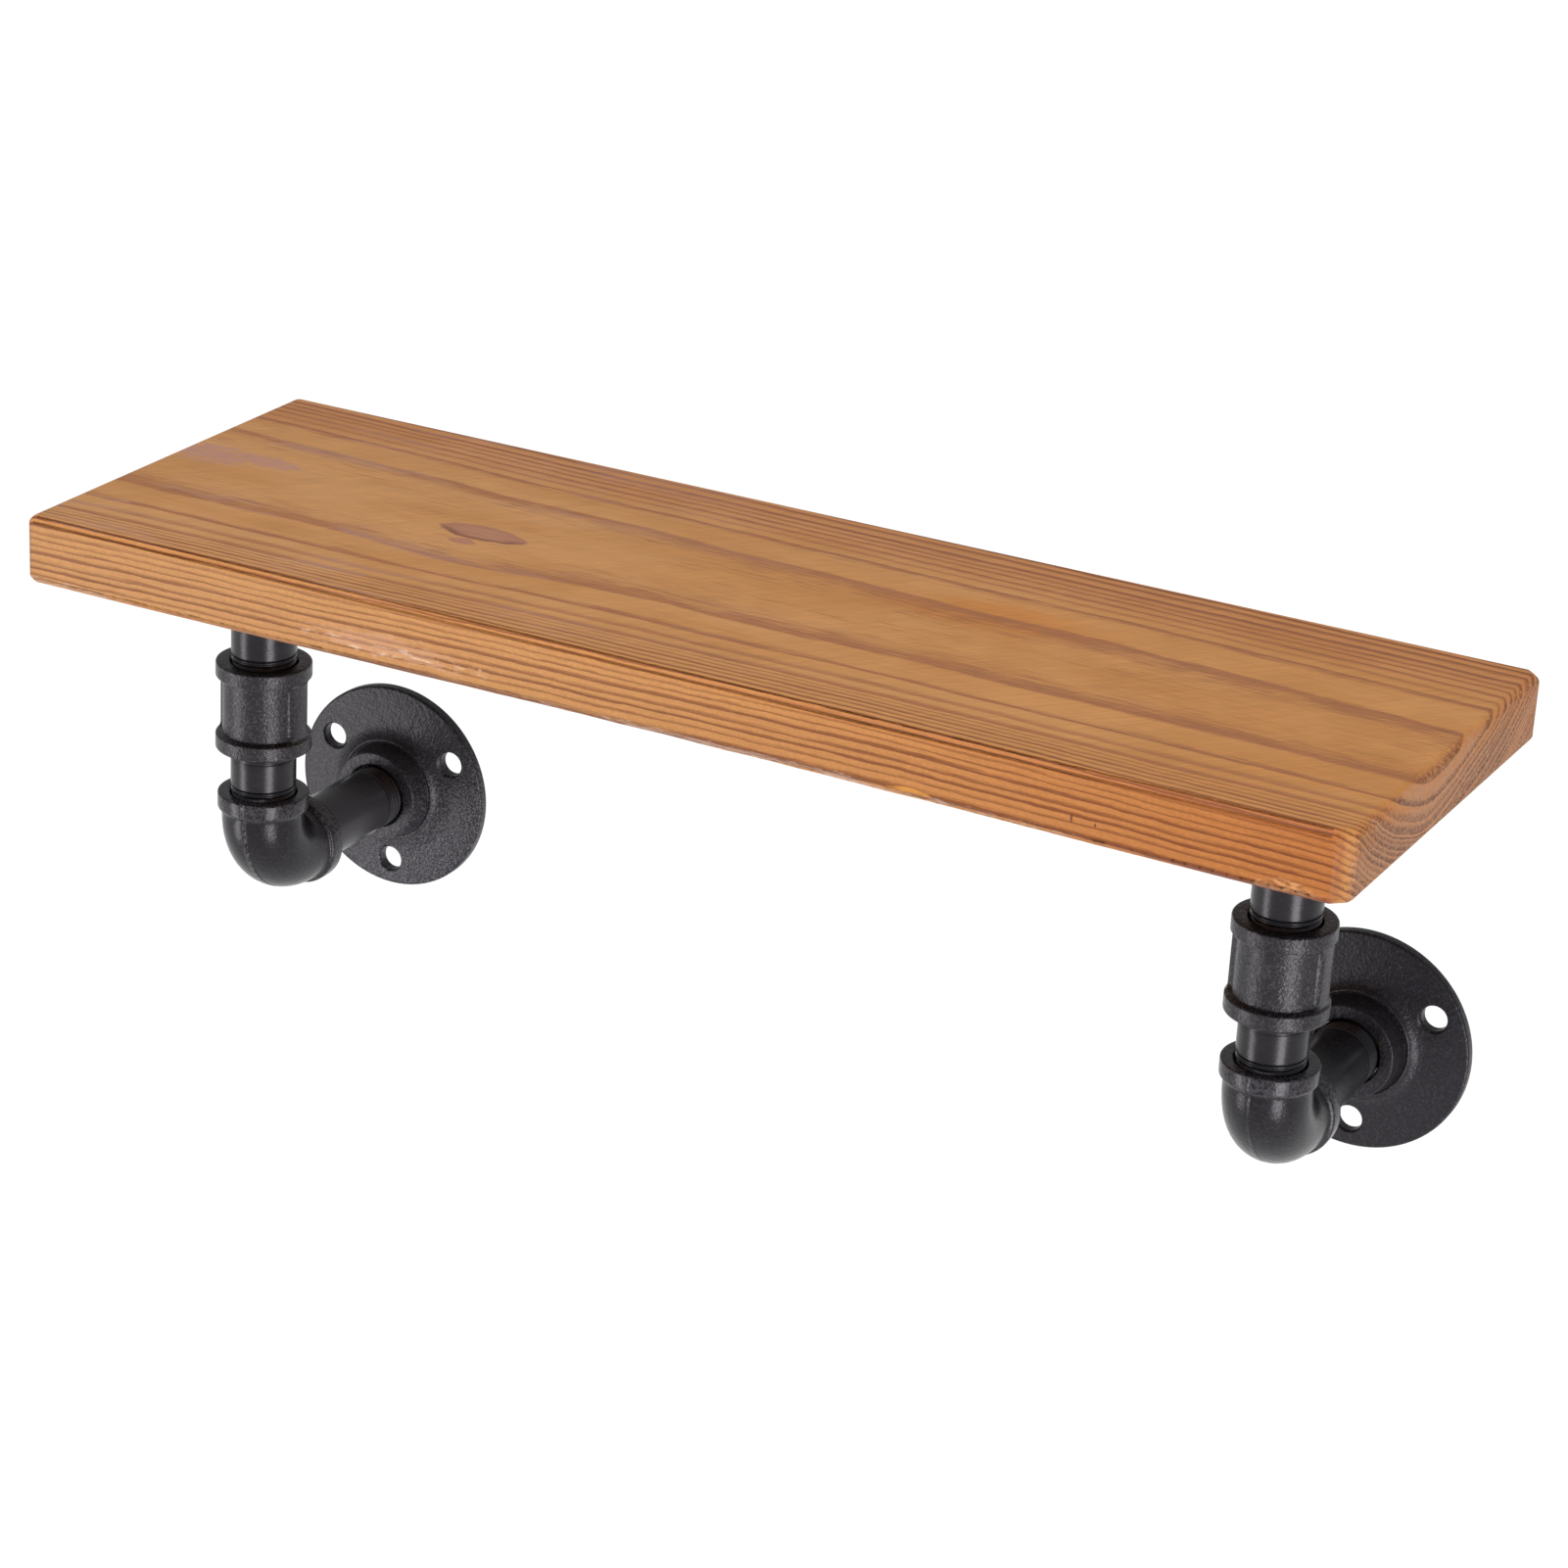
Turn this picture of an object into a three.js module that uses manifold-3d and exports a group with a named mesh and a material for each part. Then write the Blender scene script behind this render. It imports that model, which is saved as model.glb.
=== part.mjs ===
// A wall shelf: one solid pine board on two brackets made of black half-inch pipe fittings.
// Millimetres, +Z up. The origin lies on the wall plane, midway between the two flange axes.
// +X runs along the board and +Y points into the wall.
//
// Each bracket is a stack that is screwed together. A floor flange stands on the wall, a nipple
// comes straight out of it, an elbow turns upwards, and a short nipple, a coupling and a longer
// nipple rise to a second flange, which is screwed to the underside of the board.

import * as THREE from 'three';
import { mergeVertices } from 'three/addons/utils/BufferGeometryUtils.js';
import Module from 'manifold-3d';

// The board: a planed plank with every edge chamfered and its four upright corners cut.
const boardLength = 440;
const boardDepth = 152;
const boardThickness = 22;
const boardEdgeChamfer = 3;
const boardCornerCut = 6;

// Half-inch pipe and the taper thread on both ends of each nipple.
const pipeDiameter = 21.3;
const pipeWall = 2.8;
const pipeEndChamfer = 0.8;
const threadLength = 13.5;
const threadEngagement = 11;
const threadTaperShare = 1 / 32;

// The brackets: the length of each nipple, and how far each board flange stays in from the end of
// the board.
const wallNippleLength = 64;
const lowerNippleLength = 37.5;
const upperNippleLength = 46;
const flangeEndMargin = 7;

// The sockets that the nipples screw into: their chamfered mouths, and the room past the pipe end.
const socketMouthChamfer = 1.2;
const socketEndRoom = 0.8;

// The floor flange: a round plate, thin at the rim, that climbs over a rounded shoulder to a hub.
// Each part stands on the one before: the hub's wall on the socket, the shoulder on the hub's root.
const flangeDiameter = 72;
const flangeRimHeight = 3.8;
const flangeRimRound = 0.9;
const flangePlateRise = 0.8;
const flangeShoulderRise = 2.2;
const flangeShoulderWidth = 1.5;
const shoulderRoundShare = 0.4;
const shoulderFilletShare = 0.54;
const hubWall = 4.5;
const hubSpread = 1.1;
const hubRound = 0.8;
const flangeBackRoom = 2.2;

// The flange's screw holes, countersunk on the hub side, midway between the shoulder and the rim.
const flangeHoleCount = 3;
const flangeHoleDiameter = 8.4;
const flangeHoleSink = 1.05;

// The banded elbow: a bent tube with a collar round each mouth. The corner room keeps the end of
// one pipe clear of the other pipe's side.
const elbowCornerRoom = 3.35;
const elbowBendShare = 0.68;
const elbowWall = 2.6;
const elbowCollarRidge = 1.4;
const elbowCollarHeight = 5.4;
const collarRound = 0.9;

// The banded coupling: a barrel between two bands, with an upright rib on each side.
const couplingLength = 30;
const couplingWall = 2.5;
const couplingBandRidge = 2.2;
const couplingBandHeight = 5.2;
const couplingRibRidge = 1.4;
const couplingRibWidth = 7.6;
const couplingRibRound = 0.7;
const bandRoundShare = 0.45;
const bandFilletShare = 0.36;

// The wood screws that hold each board flange to the board. Each head laps over its hole's edge.
const screwLength = 18;
const screwHeadLap = 0.6;
const screwShankDiameter = 5;
const screwTipLength = 4;

// Fits: the gap between pieces that meet, and how far a cutter runs past the face it cuts.
const fitGap = 0.3;
const overrun = 2;

// Facets round a fitting, a pipe, a screw hole and a screw, steps in half a small round, and steps
// along the elbow's bend.
const fittingSides = 28;
const pipeSides = 20;
const holeSides = 12;
const screwSides = 12;
const roundSteps = 1;
const bendSteps = 10;

// Points of one profile that lie closer together than this are one point.
const weldDistance = 0.001;

const pipeRadius = pipeDiameter / 2;
const pipeBoreRadius = pipeRadius - pipeWall;
const threadEndRadius = pipeRadius - threadLength * threadTaperShare;
const socketMouthRadius = threadEndRadius + threadEngagement * threadTaperShare + fitGap;
const socketDepth = threadEngagement + socketEndRoom;
const socketEndRadius = threadEndRadius + fitGap;

// The castings, worked out from the mouth of the socket outwards.
const flangeHeight = socketDepth + flangeBackRoom;
const hubFaceRadius = socketMouthRadius + hubWall;
const hubRootRadius = hubFaceRadius + hubSpread;
const shoulderRadius = hubRootRadius + flangeShoulderWidth;
const flangePlateHeight = flangeRimHeight + flangePlateRise;
const shoulderHeight = flangePlateHeight + flangeShoulderRise;
const flangeHoleRadius = flangeHoleDiameter / 2;
const flangeHoleCircleRadius = (flangeDiameter / 2 + shoulderRadius) / 2;
const elbowBodyRadius = socketMouthRadius + elbowWall;
const elbowCollarRadius = elbowBodyRadius + elbowCollarRidge;
const elbowCentreToFace = threadEngagement + pipeRadius + elbowCornerRoom;
const elbowBendRadius = elbowCentreToFace * elbowBendShare;
const couplingBarrelRadius = socketMouthRadius + couplingWall;
const couplingBandRadius = couplingBarrelRadius + couplingBandRidge;
const couplingRibRadius = couplingBarrelRadius + couplingRibRidge;
const screwHeadRadius = flangeHoleRadius + screwHeadLap;

// The stack, worked out from the wall outwards and then from the elbow upwards.
const wallNippleStart = flangeHeight - threadEngagement;
const elbowFaceFromWall = wallNippleStart + wallNippleLength - threadEngagement;
const legFromWall = elbowFaceFromWall + elbowCentreToFace;
const lowerNippleStart = elbowCentreToFace - threadEngagement;
const couplingStart = lowerNippleStart + lowerNippleLength - threadEngagement;
const upperNippleStart = couplingStart + couplingLength - threadEngagement;
const boardFlangeHubFace = upperNippleStart + upperNippleLength - threadEngagement;
const boardFlangeBack = boardFlangeHubFace + flangeHeight;
const boardUnderside = boardFlangeBack + fitGap;
const bracketSpacing = boardLength - flangeDiameter - 2 * flangeEndMargin;

const wasm = await Module();
wasm.setup();

// The solid library's own form of a closed geometry.
function solidOf(geometry) {
  const bare = geometry.clone();
  bare.deleteAttribute('normal');
  bare.deleteAttribute('uv');
  const welded = mergeVertices(bare);
  const vertProperties = new Float32Array(welded.attributes.position.array);
  const triVerts = new Uint32Array(welded.index.array);
  return new wasm.Manifold(new wasm.Mesh({ numProp: 3, vertProperties, triVerts }));
}

// A geometry again, once a solid has been joined and cut.
function geometryOf(solid) {
  const { vertProperties, triVerts } = solid.getMesh();
  const geometry = new THREE.BufferGeometry();
  geometry.setAttribute('position', new THREE.BufferAttribute(vertProperties, 3));
  geometry.setIndex(new THREE.BufferAttribute(triVerts, 1));
  geometry.computeVertexNormals();
  return geometry;
}

// Turns a closed profile about the Z axis. Across the profile is the radius, up it the height.
function revolve(profile, sides) {
  const points = profile.getPoints(roundSteps);
  const kept = points.filter((point, index) => {
    const next = points[(index + 1) % points.length];
    return point.distanceTo(next) > weldDistance;
  });
  kept.push(kept[0].clone());
  return new THREE.LatheGeometry(kept, sides).rotateX(Math.PI / 2);
}

// Runs a profile straight on to a quarter round and along it, between two directions in degrees.
function addRound(profile, centreRadius, centreHeight, round, fromDegrees, toDegrees) {
  const from = THREE.MathUtils.degToRad(fromDegrees);
  const to = THREE.MathUtils.degToRad(toDegrees);
  profile.lineTo(centreRadius + round * Math.cos(from), centreHeight + round * Math.sin(from));
  profile.absarc(centreRadius, centreHeight, round, from, to, toDegrees < fromDegrees);
}

// A threaded pipe nipple that stands on its end at the origin. Each end tapers over its thread.
function nippleGeometry(length) {
  const chamferRadius = threadEndRadius - pipeEndChamfer;
  const profile = new THREE.Path();
  profile.moveTo(pipeBoreRadius, 0);
  profile.lineTo(chamferRadius, 0);
  profile.lineTo(threadEndRadius, pipeEndChamfer);
  profile.lineTo(pipeRadius, threadLength);
  profile.lineTo(pipeRadius, length - threadLength);
  profile.lineTo(threadEndRadius, length - pipeEndChamfer);
  profile.lineTo(chamferRadius, length);
  profile.lineTo(pipeBoreRadius, length);
  profile.lineTo(pipeBoreRadius, 0);
  return revolve(profile, pipeSides);
}

// The cutter for one threaded socket. Its mouth lies at the origin and it goes down from there.
function socketCutter() {
  const openRadius = socketMouthRadius + socketMouthChamfer;
  const profile = new THREE.Path();
  profile.moveTo(0, -socketDepth);
  profile.lineTo(socketEndRadius, -socketDepth);
  profile.lineTo(socketMouthRadius, -socketMouthChamfer);
  profile.lineTo(openRadius, 0);
  profile.lineTo(openRadius, overrun);
  profile.lineTo(0, overrun);
  return solidOf(revolveFromAxis(profile, fittingSides));
}

// Turns a profile that starts and ends on the Z axis.
function revolveFromAxis(profile, sides) {
  const points = profile.getPoints(roundSteps);
  const kept = points.filter((point, index) => {
    return index === 0 || point.distanceTo(points[index - 1]) > weldDistance;
  });
  return new THREE.LatheGeometry(kept, sides).rotateX(Math.PI / 2);
}

// Where the screw holes of a flange lie, about its own axis. One of them points straight down.
function flangeHolePlaces() {
  const places = [];
  for (let index = 0; index < flangeHoleCount; index += 1) {
    const angle = -Math.PI / 2 + (index * 2 * Math.PI) / flangeHoleCount;
    const x = flangeHoleCircleRadius * Math.cos(angle);
    const y = flangeHoleCircleRadius * Math.sin(angle);
    places.push(new THREE.Vector2(x, y));
  }
  return places;
}

// The height of the flange's plate where its screw holes are.
function plateHeightAtHoles() {
  const rimRadius = flangeDiameter / 2 - flangeRimRound;
  const along = (rimRadius - flangeHoleCircleRadius) / (rimRadius - shoulderRadius);
  return flangeRimHeight + flangePlateRise * along;
}

// The cutter for one screw hole: straight through from the back, then opening to its rim.
function flangeHoleCutter(place) {
  const plateHeight = plateHeightAtHoles();
  const openRadius = flangeHoleRadius + flangeHoleSink + overrun;
  const profile = new THREE.Path();
  profile.moveTo(0, -overrun);
  profile.lineTo(flangeHoleRadius, -overrun);
  profile.lineTo(flangeHoleRadius, plateHeight - flangeHoleSink);
  profile.lineTo(openRadius, plateHeight + overrun);
  profile.lineTo(0, plateHeight + overrun);
  const cutter = revolveFromAxis(profile, holeSides);
  cutter.translate(place.x, place.y, 0);
  return solidOf(cutter);
}

// The floor flange, its back at height zero and its hub upwards.
function flangeGeometry() {
  const rimRadius = flangeDiameter / 2;
  const shoulderRound = flangeShoulderRise * shoulderRoundShare;
  const shoulderFillet = flangeShoulderRise * shoulderFilletShare;
  const profile = new THREE.Path();
  profile.moveTo(socketEndRadius, 0);
  profile.lineTo(rimRadius, 0);
  addRound(profile, rimRadius - flangeRimRound, flangeRimHeight - flangeRimRound, flangeRimRound, 0, 90);
  const filletHeight = flangePlateHeight + shoulderFillet;
  addRound(profile, shoulderRadius + shoulderFillet, filletHeight, shoulderFillet, 270, 180);
  const roundHeight = shoulderHeight - shoulderRound;
  addRound(profile, shoulderRadius - shoulderRound, roundHeight, shoulderRound, 0, 90);
  profile.lineTo(hubRootRadius, shoulderHeight);
  addRound(profile, hubFaceRadius - hubRound, flangeHeight - hubRound, hubRound, 0, 90);
  profile.lineTo(socketMouthRadius + socketMouthChamfer, flangeHeight);
  profile.lineTo(socketMouthRadius, flangeHeight - socketMouthChamfer);
  profile.lineTo(socketEndRadius, flangeHeight - socketDepth);
  profile.lineTo(socketEndRadius, 0);
  let solid = solidOf(revolve(profile, fittingSides));
  for (const place of flangeHolePlaces()) {
    solid = solid.subtract(flangeHoleCutter(place));
  }
  return geometryOf(solid);
}

// A round rod along the elbow's bend. It comes down from one reach, turns and goes back to the other.
function bendGeometry(radius, reach, sides) {
  const bendStart = new THREE.Vector3(0, 0, elbowBendRadius);
  const bendEnd = new THREE.Vector3(0, elbowBendRadius, 0);
  const path = new THREE.CurvePath();
  path.add(new THREE.LineCurve3(new THREE.Vector3(0, 0, reach), bendStart));
  path.add(new QuarterBend(elbowBendRadius));
  path.add(new THREE.LineCurve3(bendEnd, new THREE.Vector3(0, reach, 0)));
  const section = new THREE.Shape();
  section.absarc(0, 0, radius, 0, Math.PI * 2);
  const curveSegments = sides / 2;
  return new THREE.ExtrudeGeometry(section, { steps: bendSteps, extrudePath: path, curveSegments });
}

// A quarter circle in the YZ plane, from the upright leg to the level one.
class QuarterBend extends THREE.Curve {
  constructor(radius) {
    super();
    this.radius = radius;
  }

  getPoint(t, target = new THREE.Vector3()) {
    const angle = (t * Math.PI) / 2;
    const y = this.radius * (1 - Math.cos(angle));
    const z = this.radius * (1 - Math.sin(angle));
    return target.set(0, y, z);
  }
}

// One collar, its face at the origin and the rest below it.
function collarGeometry() {
  const roundRadius = elbowCollarRadius - collarRound;
  const profile = new THREE.Path();
  profile.moveTo(0, -elbowCollarHeight);
  addRound(profile, roundRadius, collarRound - elbowCollarHeight, collarRound, 270, 360);
  addRound(profile, roundRadius, -collarRound, collarRound, 0, 90);
  profile.lineTo(0, 0);
  return revolveFromAxis(profile, fittingSides);
}

// The elbow about its own centre, where the axes of its two mouths cross.
function elbowGeometry() {
  const upright = collarGeometry().translate(0, 0, elbowCentreToFace);
  const level = collarGeometry().translate(0, 0, elbowCentreToFace).rotateX(-Math.PI / 2);
  const bodyReach = elbowCentreToFace - elbowCollarHeight / 2;
  let solid = solidOf(bendGeometry(elbowBodyRadius, bodyReach, fittingSides));
  solid = solid.add(solidOf(upright)).add(solidOf(level));
  const uprightSocket = socketCutter().translate([0, 0, elbowCentreToFace]);
  const levelSocket = socketCutter().translate([0, 0, elbowCentreToFace]).rotate([-90, 0, 0]);
  solid = solid.subtract(uprightSocket).subtract(levelSocket);
  const passage = bendGeometry(pipeBoreRadius, bodyReach, pipeSides);
  return geometryOf(solid.subtract(solidOf(passage)));
}

// One rib of the coupling: a bar with a curved, rounded face that stands on the barrel.
function ribGeometry() {
  const halfWidth = couplingRibWidth / 2;
  const rootX = (couplingBarrelRadius + socketMouthRadius) / 2;
  const edgeX = Math.sqrt(couplingRibRadius ** 2 - halfWidth ** 2);
  const section = new THREE.Shape();
  section.moveTo(rootX, -halfWidth);
  section.lineTo(edgeX - couplingRibRound, -halfWidth);
  section.quadraticCurveTo(edgeX, -halfWidth, edgeX, couplingRibRound - halfWidth);
  section.quadraticCurveTo(2 * couplingRibRadius - edgeX, 0, edgeX, halfWidth - couplingRibRound);
  section.quadraticCurveTo(edgeX, halfWidth, edgeX - couplingRibRound, halfWidth);
  section.lineTo(rootX, halfWidth);
  const depth = couplingLength - couplingBandHeight;
  const rib = new THREE.ExtrudeGeometry(section, { depth, bevelEnabled: false, curveSegments: roundSteps });
  return rib.translate(0, 0, couplingBandHeight / 2);
}

// The coupling, standing on its lower mouth at the origin.
function couplingGeometry() {
  const bandRound = couplingBandRidge * bandRoundShare;
  const bandFillet = couplingBandRidge * bandFilletShare;
  const roundRadius = couplingBandRadius - bandRound;
  const filletRadius = couplingBarrelRadius + bandFillet;
  const upperBand = couplingLength - couplingBandHeight;
  const profile = new THREE.Path();
  profile.moveTo(0, 0);
  addRound(profile, roundRadius, bandRound, bandRound, 270, 360);
  addRound(profile, roundRadius, couplingBandHeight - bandRound, bandRound, 0, 90);
  addRound(profile, filletRadius, couplingBandHeight + bandFillet, bandFillet, 270, 180);
  addRound(profile, filletRadius, upperBand - bandFillet, bandFillet, 180, 90);
  addRound(profile, roundRadius, upperBand + bandRound, bandRound, 270, 360);
  addRound(profile, roundRadius, couplingLength - bandRound, bandRound, 0, 90);
  profile.lineTo(0, couplingLength);
  const rib = solidOf(ribGeometry());
  let solid = solidOf(revolveFromAxis(profile, fittingSides));
  solid = solid.add(rib).add(rib.rotate([0, 0, 180]));
  const upperSocket = socketCutter().translate([0, 0, couplingLength]);
  const lowerSocket = socketCutter().rotate([180, 0, 0]);
  solid = solid.subtract(upperSocket).subtract(lowerSocket);
  const boreCore = new THREE.CylinderGeometry(pipeBoreRadius, pipeBoreRadius, couplingLength, fittingSides);
  boreCore.rotateX(Math.PI / 2).translate(0, 0, couplingLength / 2);
  return geometryOf(solid.subtract(solidOf(boreCore)));
}

// A countersunk wood screw, point upwards, the plane of its head at the origin.
function screwGeometry() {
  const shankRadius = screwShankDiameter / 2;
  const headHeight = screwHeadRadius - shankRadius;
  const profile = new THREE.Path();
  profile.moveTo(0, 0);
  profile.lineTo(screwHeadRadius, 0);
  profile.lineTo(shankRadius, headHeight);
  profile.lineTo(shankRadius, screwLength - screwTipLength);
  profile.lineTo(0, screwLength);
  return revolveFromAxis(profile, screwSides);
}

// The pilot hole for one screw, up from the underside of the board.
function pilotHoleCutter(x, y) {
  const radius = screwShankDiameter / 2 + fitGap;
  const top = screwHeadPlane() + screwLength + fitGap;
  const profile = new THREE.Path();
  profile.moveTo(0, boardUnderside - overrun);
  profile.lineTo(radius, boardUnderside - overrun);
  profile.lineTo(radius, top - screwTipLength);
  profile.lineTo(0, top);
  return solidOf(revolveFromAxis(profile, screwSides).translate(x, y, 0));
}

// The height of the screw heads: each sits in its countersink, a fit gap clear of the metal.
function screwHeadPlane() {
  const seatDepth = flangeHoleSink - screwHeadLap - fitGap;
  return boardFlangeBack - plateHeightAtHoles() + seatDepth;
}

// Where the screws of the bracket at bracketX stand, seen from above.
function boardScrewPlaces(bracketX) {
  return flangeHolePlaces().map((place) => {
    return new THREE.Vector2(bracketX + place.x, -legFromWall - place.y);
  });
}

// The board, its rear edge on the wall plane, with the pilot holes in its underside.
function boardGeometry() {
  const halfLength = boardLength / 2;
  const halfDepth = boardDepth / 2;
  const outline = new THREE.Shape();
  outline.moveTo(boardCornerCut - halfLength, -halfDepth);
  outline.lineTo(halfLength - boardCornerCut, -halfDepth);
  outline.lineTo(halfLength, boardCornerCut - halfDepth);
  outline.lineTo(halfLength, halfDepth - boardCornerCut);
  outline.lineTo(halfLength - boardCornerCut, halfDepth);
  outline.lineTo(boardCornerCut - halfLength, halfDepth);
  outline.lineTo(-halfLength, halfDepth - boardCornerCut);
  outline.lineTo(-halfLength, boardCornerCut - halfDepth);
  const plank = new THREE.ExtrudeGeometry(outline, {
    depth: boardThickness - 2 * boardEdgeChamfer,
    bevelThickness: boardEdgeChamfer,
    bevelSize: boardEdgeChamfer,
    bevelOffset: -boardEdgeChamfer,
    bevelSegments: 1,
  });
  plank.translate(0, -halfDepth, boardUnderside + boardEdgeChamfer);
  let solid = solidOf(plank);
  for (const side of [-1, 1]) {
    for (const place of boardScrewPlaces((side * bracketSpacing) / 2)) {
      solid = solid.subtract(pilotHoleCutter(place.x, place.y));
    }
  }
  return geometryOf(solid);
}

const ironFinish = { color: 0x2b2b2d, roughness: 0.62, metalness: 0.35 };
const pipeFinish = { color: 0x26272a, roughness: 0.42, metalness: 0.5 };
const screwFinish = { color: 0x3a3a3c, roughness: 0.4, metalness: 0.8 };
const pineFinish = { color: 0xb8733a, roughness: 0.5, metalness: 0 };

// A named piece with a material of its own.
function piece(name, geometry, finish) {
  const mesh = new THREE.Mesh(geometry, new THREE.MeshStandardMaterial(finish));
  mesh.name = name;
  return mesh;
}

// One bracket, its pieces about the foot of its leg.
function bracket(side, bracketX) {
  const group = new THREE.Group();

  const wallFlange = piece(`${side}_wall_flange`, flangeGeometry(), ironFinish);
  wallFlange.rotation.x = Math.PI / 2;

  const wallNipple = piece(`${side}_wall_nipple`, nippleGeometry(wallNippleLength), pipeFinish);
  wallNipple.rotation.x = Math.PI / 2;
  wallNipple.position.y = -wallNippleStart;

  const elbow = piece(`${side}_elbow`, elbowGeometry(), ironFinish);
  elbow.position.y = -legFromWall;

  const lowerNipple = piece(`${side}_lower_nipple`, nippleGeometry(lowerNippleLength), pipeFinish);
  lowerNipple.position.set(0, -legFromWall, lowerNippleStart);

  const coupling = piece(`${side}_coupling`, couplingGeometry(), ironFinish);
  coupling.position.set(0, -legFromWall, couplingStart);

  const upperNipple = piece(`${side}_upper_nipple`, nippleGeometry(upperNippleLength), pipeFinish);
  upperNipple.position.set(0, -legFromWall, upperNippleStart);

  const boardFlange = piece(`${side}_board_flange`, flangeGeometry(), ironFinish);
  boardFlange.rotation.x = Math.PI;
  boardFlange.position.set(0, -legFromWall, boardFlangeBack);

  group.add(wallFlange, wallNipple, elbow, lowerNipple, coupling, upperNipple, boardFlange);
  boardScrewPlaces(0).forEach((place, index) => {
    const screw = piece(`${side}_board_screw_${index + 1}`, screwGeometry(), screwFinish);
    screw.position.set(place.x, place.y, screwHeadPlane());
    group.add(screw);
  });
  group.position.x = bracketX;
  return group;
}

const shelf = new THREE.Group();
shelf.add(piece('shelf_board', boardGeometry(), pineFinish));
shelf.add(bracket('left', -bracketSpacing / 2));
shelf.add(bracket('right', bracketSpacing / 2));

export default shelf;
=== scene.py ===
import math

import bmesh
import bpy
from mathutils import Matrix, Vector, noise


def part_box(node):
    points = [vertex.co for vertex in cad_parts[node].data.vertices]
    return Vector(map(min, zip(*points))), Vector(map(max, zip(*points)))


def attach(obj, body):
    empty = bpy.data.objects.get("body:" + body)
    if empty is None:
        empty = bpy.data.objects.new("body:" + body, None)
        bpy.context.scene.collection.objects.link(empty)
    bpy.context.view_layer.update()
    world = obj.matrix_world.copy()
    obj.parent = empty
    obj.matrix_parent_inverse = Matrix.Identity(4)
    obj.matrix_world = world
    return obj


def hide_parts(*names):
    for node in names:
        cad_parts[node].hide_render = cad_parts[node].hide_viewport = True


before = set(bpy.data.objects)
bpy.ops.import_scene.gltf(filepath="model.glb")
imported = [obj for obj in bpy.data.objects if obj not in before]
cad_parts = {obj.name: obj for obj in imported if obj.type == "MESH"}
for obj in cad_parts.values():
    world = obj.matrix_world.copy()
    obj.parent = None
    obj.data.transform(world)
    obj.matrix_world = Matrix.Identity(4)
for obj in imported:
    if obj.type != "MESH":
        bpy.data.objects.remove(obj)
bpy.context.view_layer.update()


# The place where the shelf was photographed: a camera with a long lens, to the right of the shelf and
# above it, tipped a little to one side. The place, the turn and the lens come from the board's edges
# and from the outlines of the fittings in the photograph.
camera_place = Vector((0.55585, -1.15100, 0.56430))
camera_turn = 0.46947
camera_tilt = 0.38902
camera_roll = 0.05609
camera_lens = 98.12

lens = bpy.data.cameras.new("photo_lens")
lens.lens = camera_lens
lens.sensor_width = 36
lens.clip_start = 0.05
lens.clip_end = 1000
camera = bpy.data.objects.new("photo_camera", lens)
aim = Matrix.Rotation(camera_turn, 4, "Z")
aim = aim @ Matrix.Rotation(math.pi / 2 - camera_tilt, 4, "X")
aim = aim @ Matrix.Rotation(camera_roll, 4, "Z")
camera.matrix_world = Matrix.Translation(camera_place) @ aim
bpy.context.scene.collection.objects.link(camera)
bpy.context.scene.camera = camera
bpy.context.scene.view_settings.view_transform = "Standard"


# One node in a tree of nodes. A socket given as an input is joined, and any other value is written
# into it.
def add_node(tree, kind, inputs=None, **settings):
    node = tree.nodes.new(kind)
    for name, value in settings.items():
        setattr(node, name, value)
    for name, value in (inputs or {}).items():
        if isinstance(value, bpy.types.NodeSocket):
            tree.links.new(value, node.inputs[name])
        else:
            node.inputs[name].default_value = value
    return node


# The studio floor: one wide pale sheet well below the shelf, as the shelf hangs on nothing that shows.
# What the camera and the shiny metal see of it is plain white, with a trace of the shelf's shadow.
floor_size = 600
floor_height = -1.9
floor_grey = (0.62, 0.62, 0.62, 1)
shadow_catch = (0.20, 0.20, 0.20, 1)
shown_white = 0.94
floor_mesh = bmesh.new()
bmesh.ops.create_grid(floor_mesh, x_segments=1, y_segments=1, size=floor_size / 2)
bmesh.ops.translate(floor_mesh, vec=Vector((0, 0, floor_height)), verts=floor_mesh.verts)
floor_sheet = bpy.data.meshes.new("studio_floor")
floor_mesh.to_mesh(floor_sheet)
floor_mesh.free()
studio_floor = bpy.data.objects.new("studio_floor", floor_sheet)
bpy.context.scene.collection.objects.link(studio_floor)

floor_paint = bpy.data.materials.new("studio_floor_paint")
floor_paint.use_nodes = True
tree = floor_paint.node_tree
tree.nodes.clear()
ray = add_node(tree, "ShaderNodeLightPath").outputs
seen = add_node(tree, "ShaderNodeMath", {0: ray["Is Camera Ray"], 1: ray["Is Glossy Ray"]},
                operation="MAXIMUM")
seen = add_node(tree, "ShaderNodeMath", {0: seen.outputs[0], 1: ray["Is Transmission Ray"]},
                operation="MAXIMUM")
lit_floor = add_node(tree, "ShaderNodeBsdfDiffuse", {"Color": floor_grey})
shaded_white = add_node(tree, "ShaderNodeBsdfDiffuse", {"Color": shadow_catch})
white_floor = add_node(tree, "ShaderNodeEmission", {"Color": (1, 1, 1, 1), "Strength": shown_white})
shown_floor = add_node(tree, "ShaderNodeAddShader", {0: shaded_white.outputs[0], 1: white_floor.outputs[0]})
floor_mix = add_node(tree, "ShaderNodeMixShader", {0: seen.outputs[0], 1: lit_floor.outputs[0],
                                                   2: shown_floor.outputs[0]})
add_node(tree, "ShaderNodeOutputMaterial", {"Surface": floor_mix.outputs[0]})
floor_sheet.materials.append(floor_paint)


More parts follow.
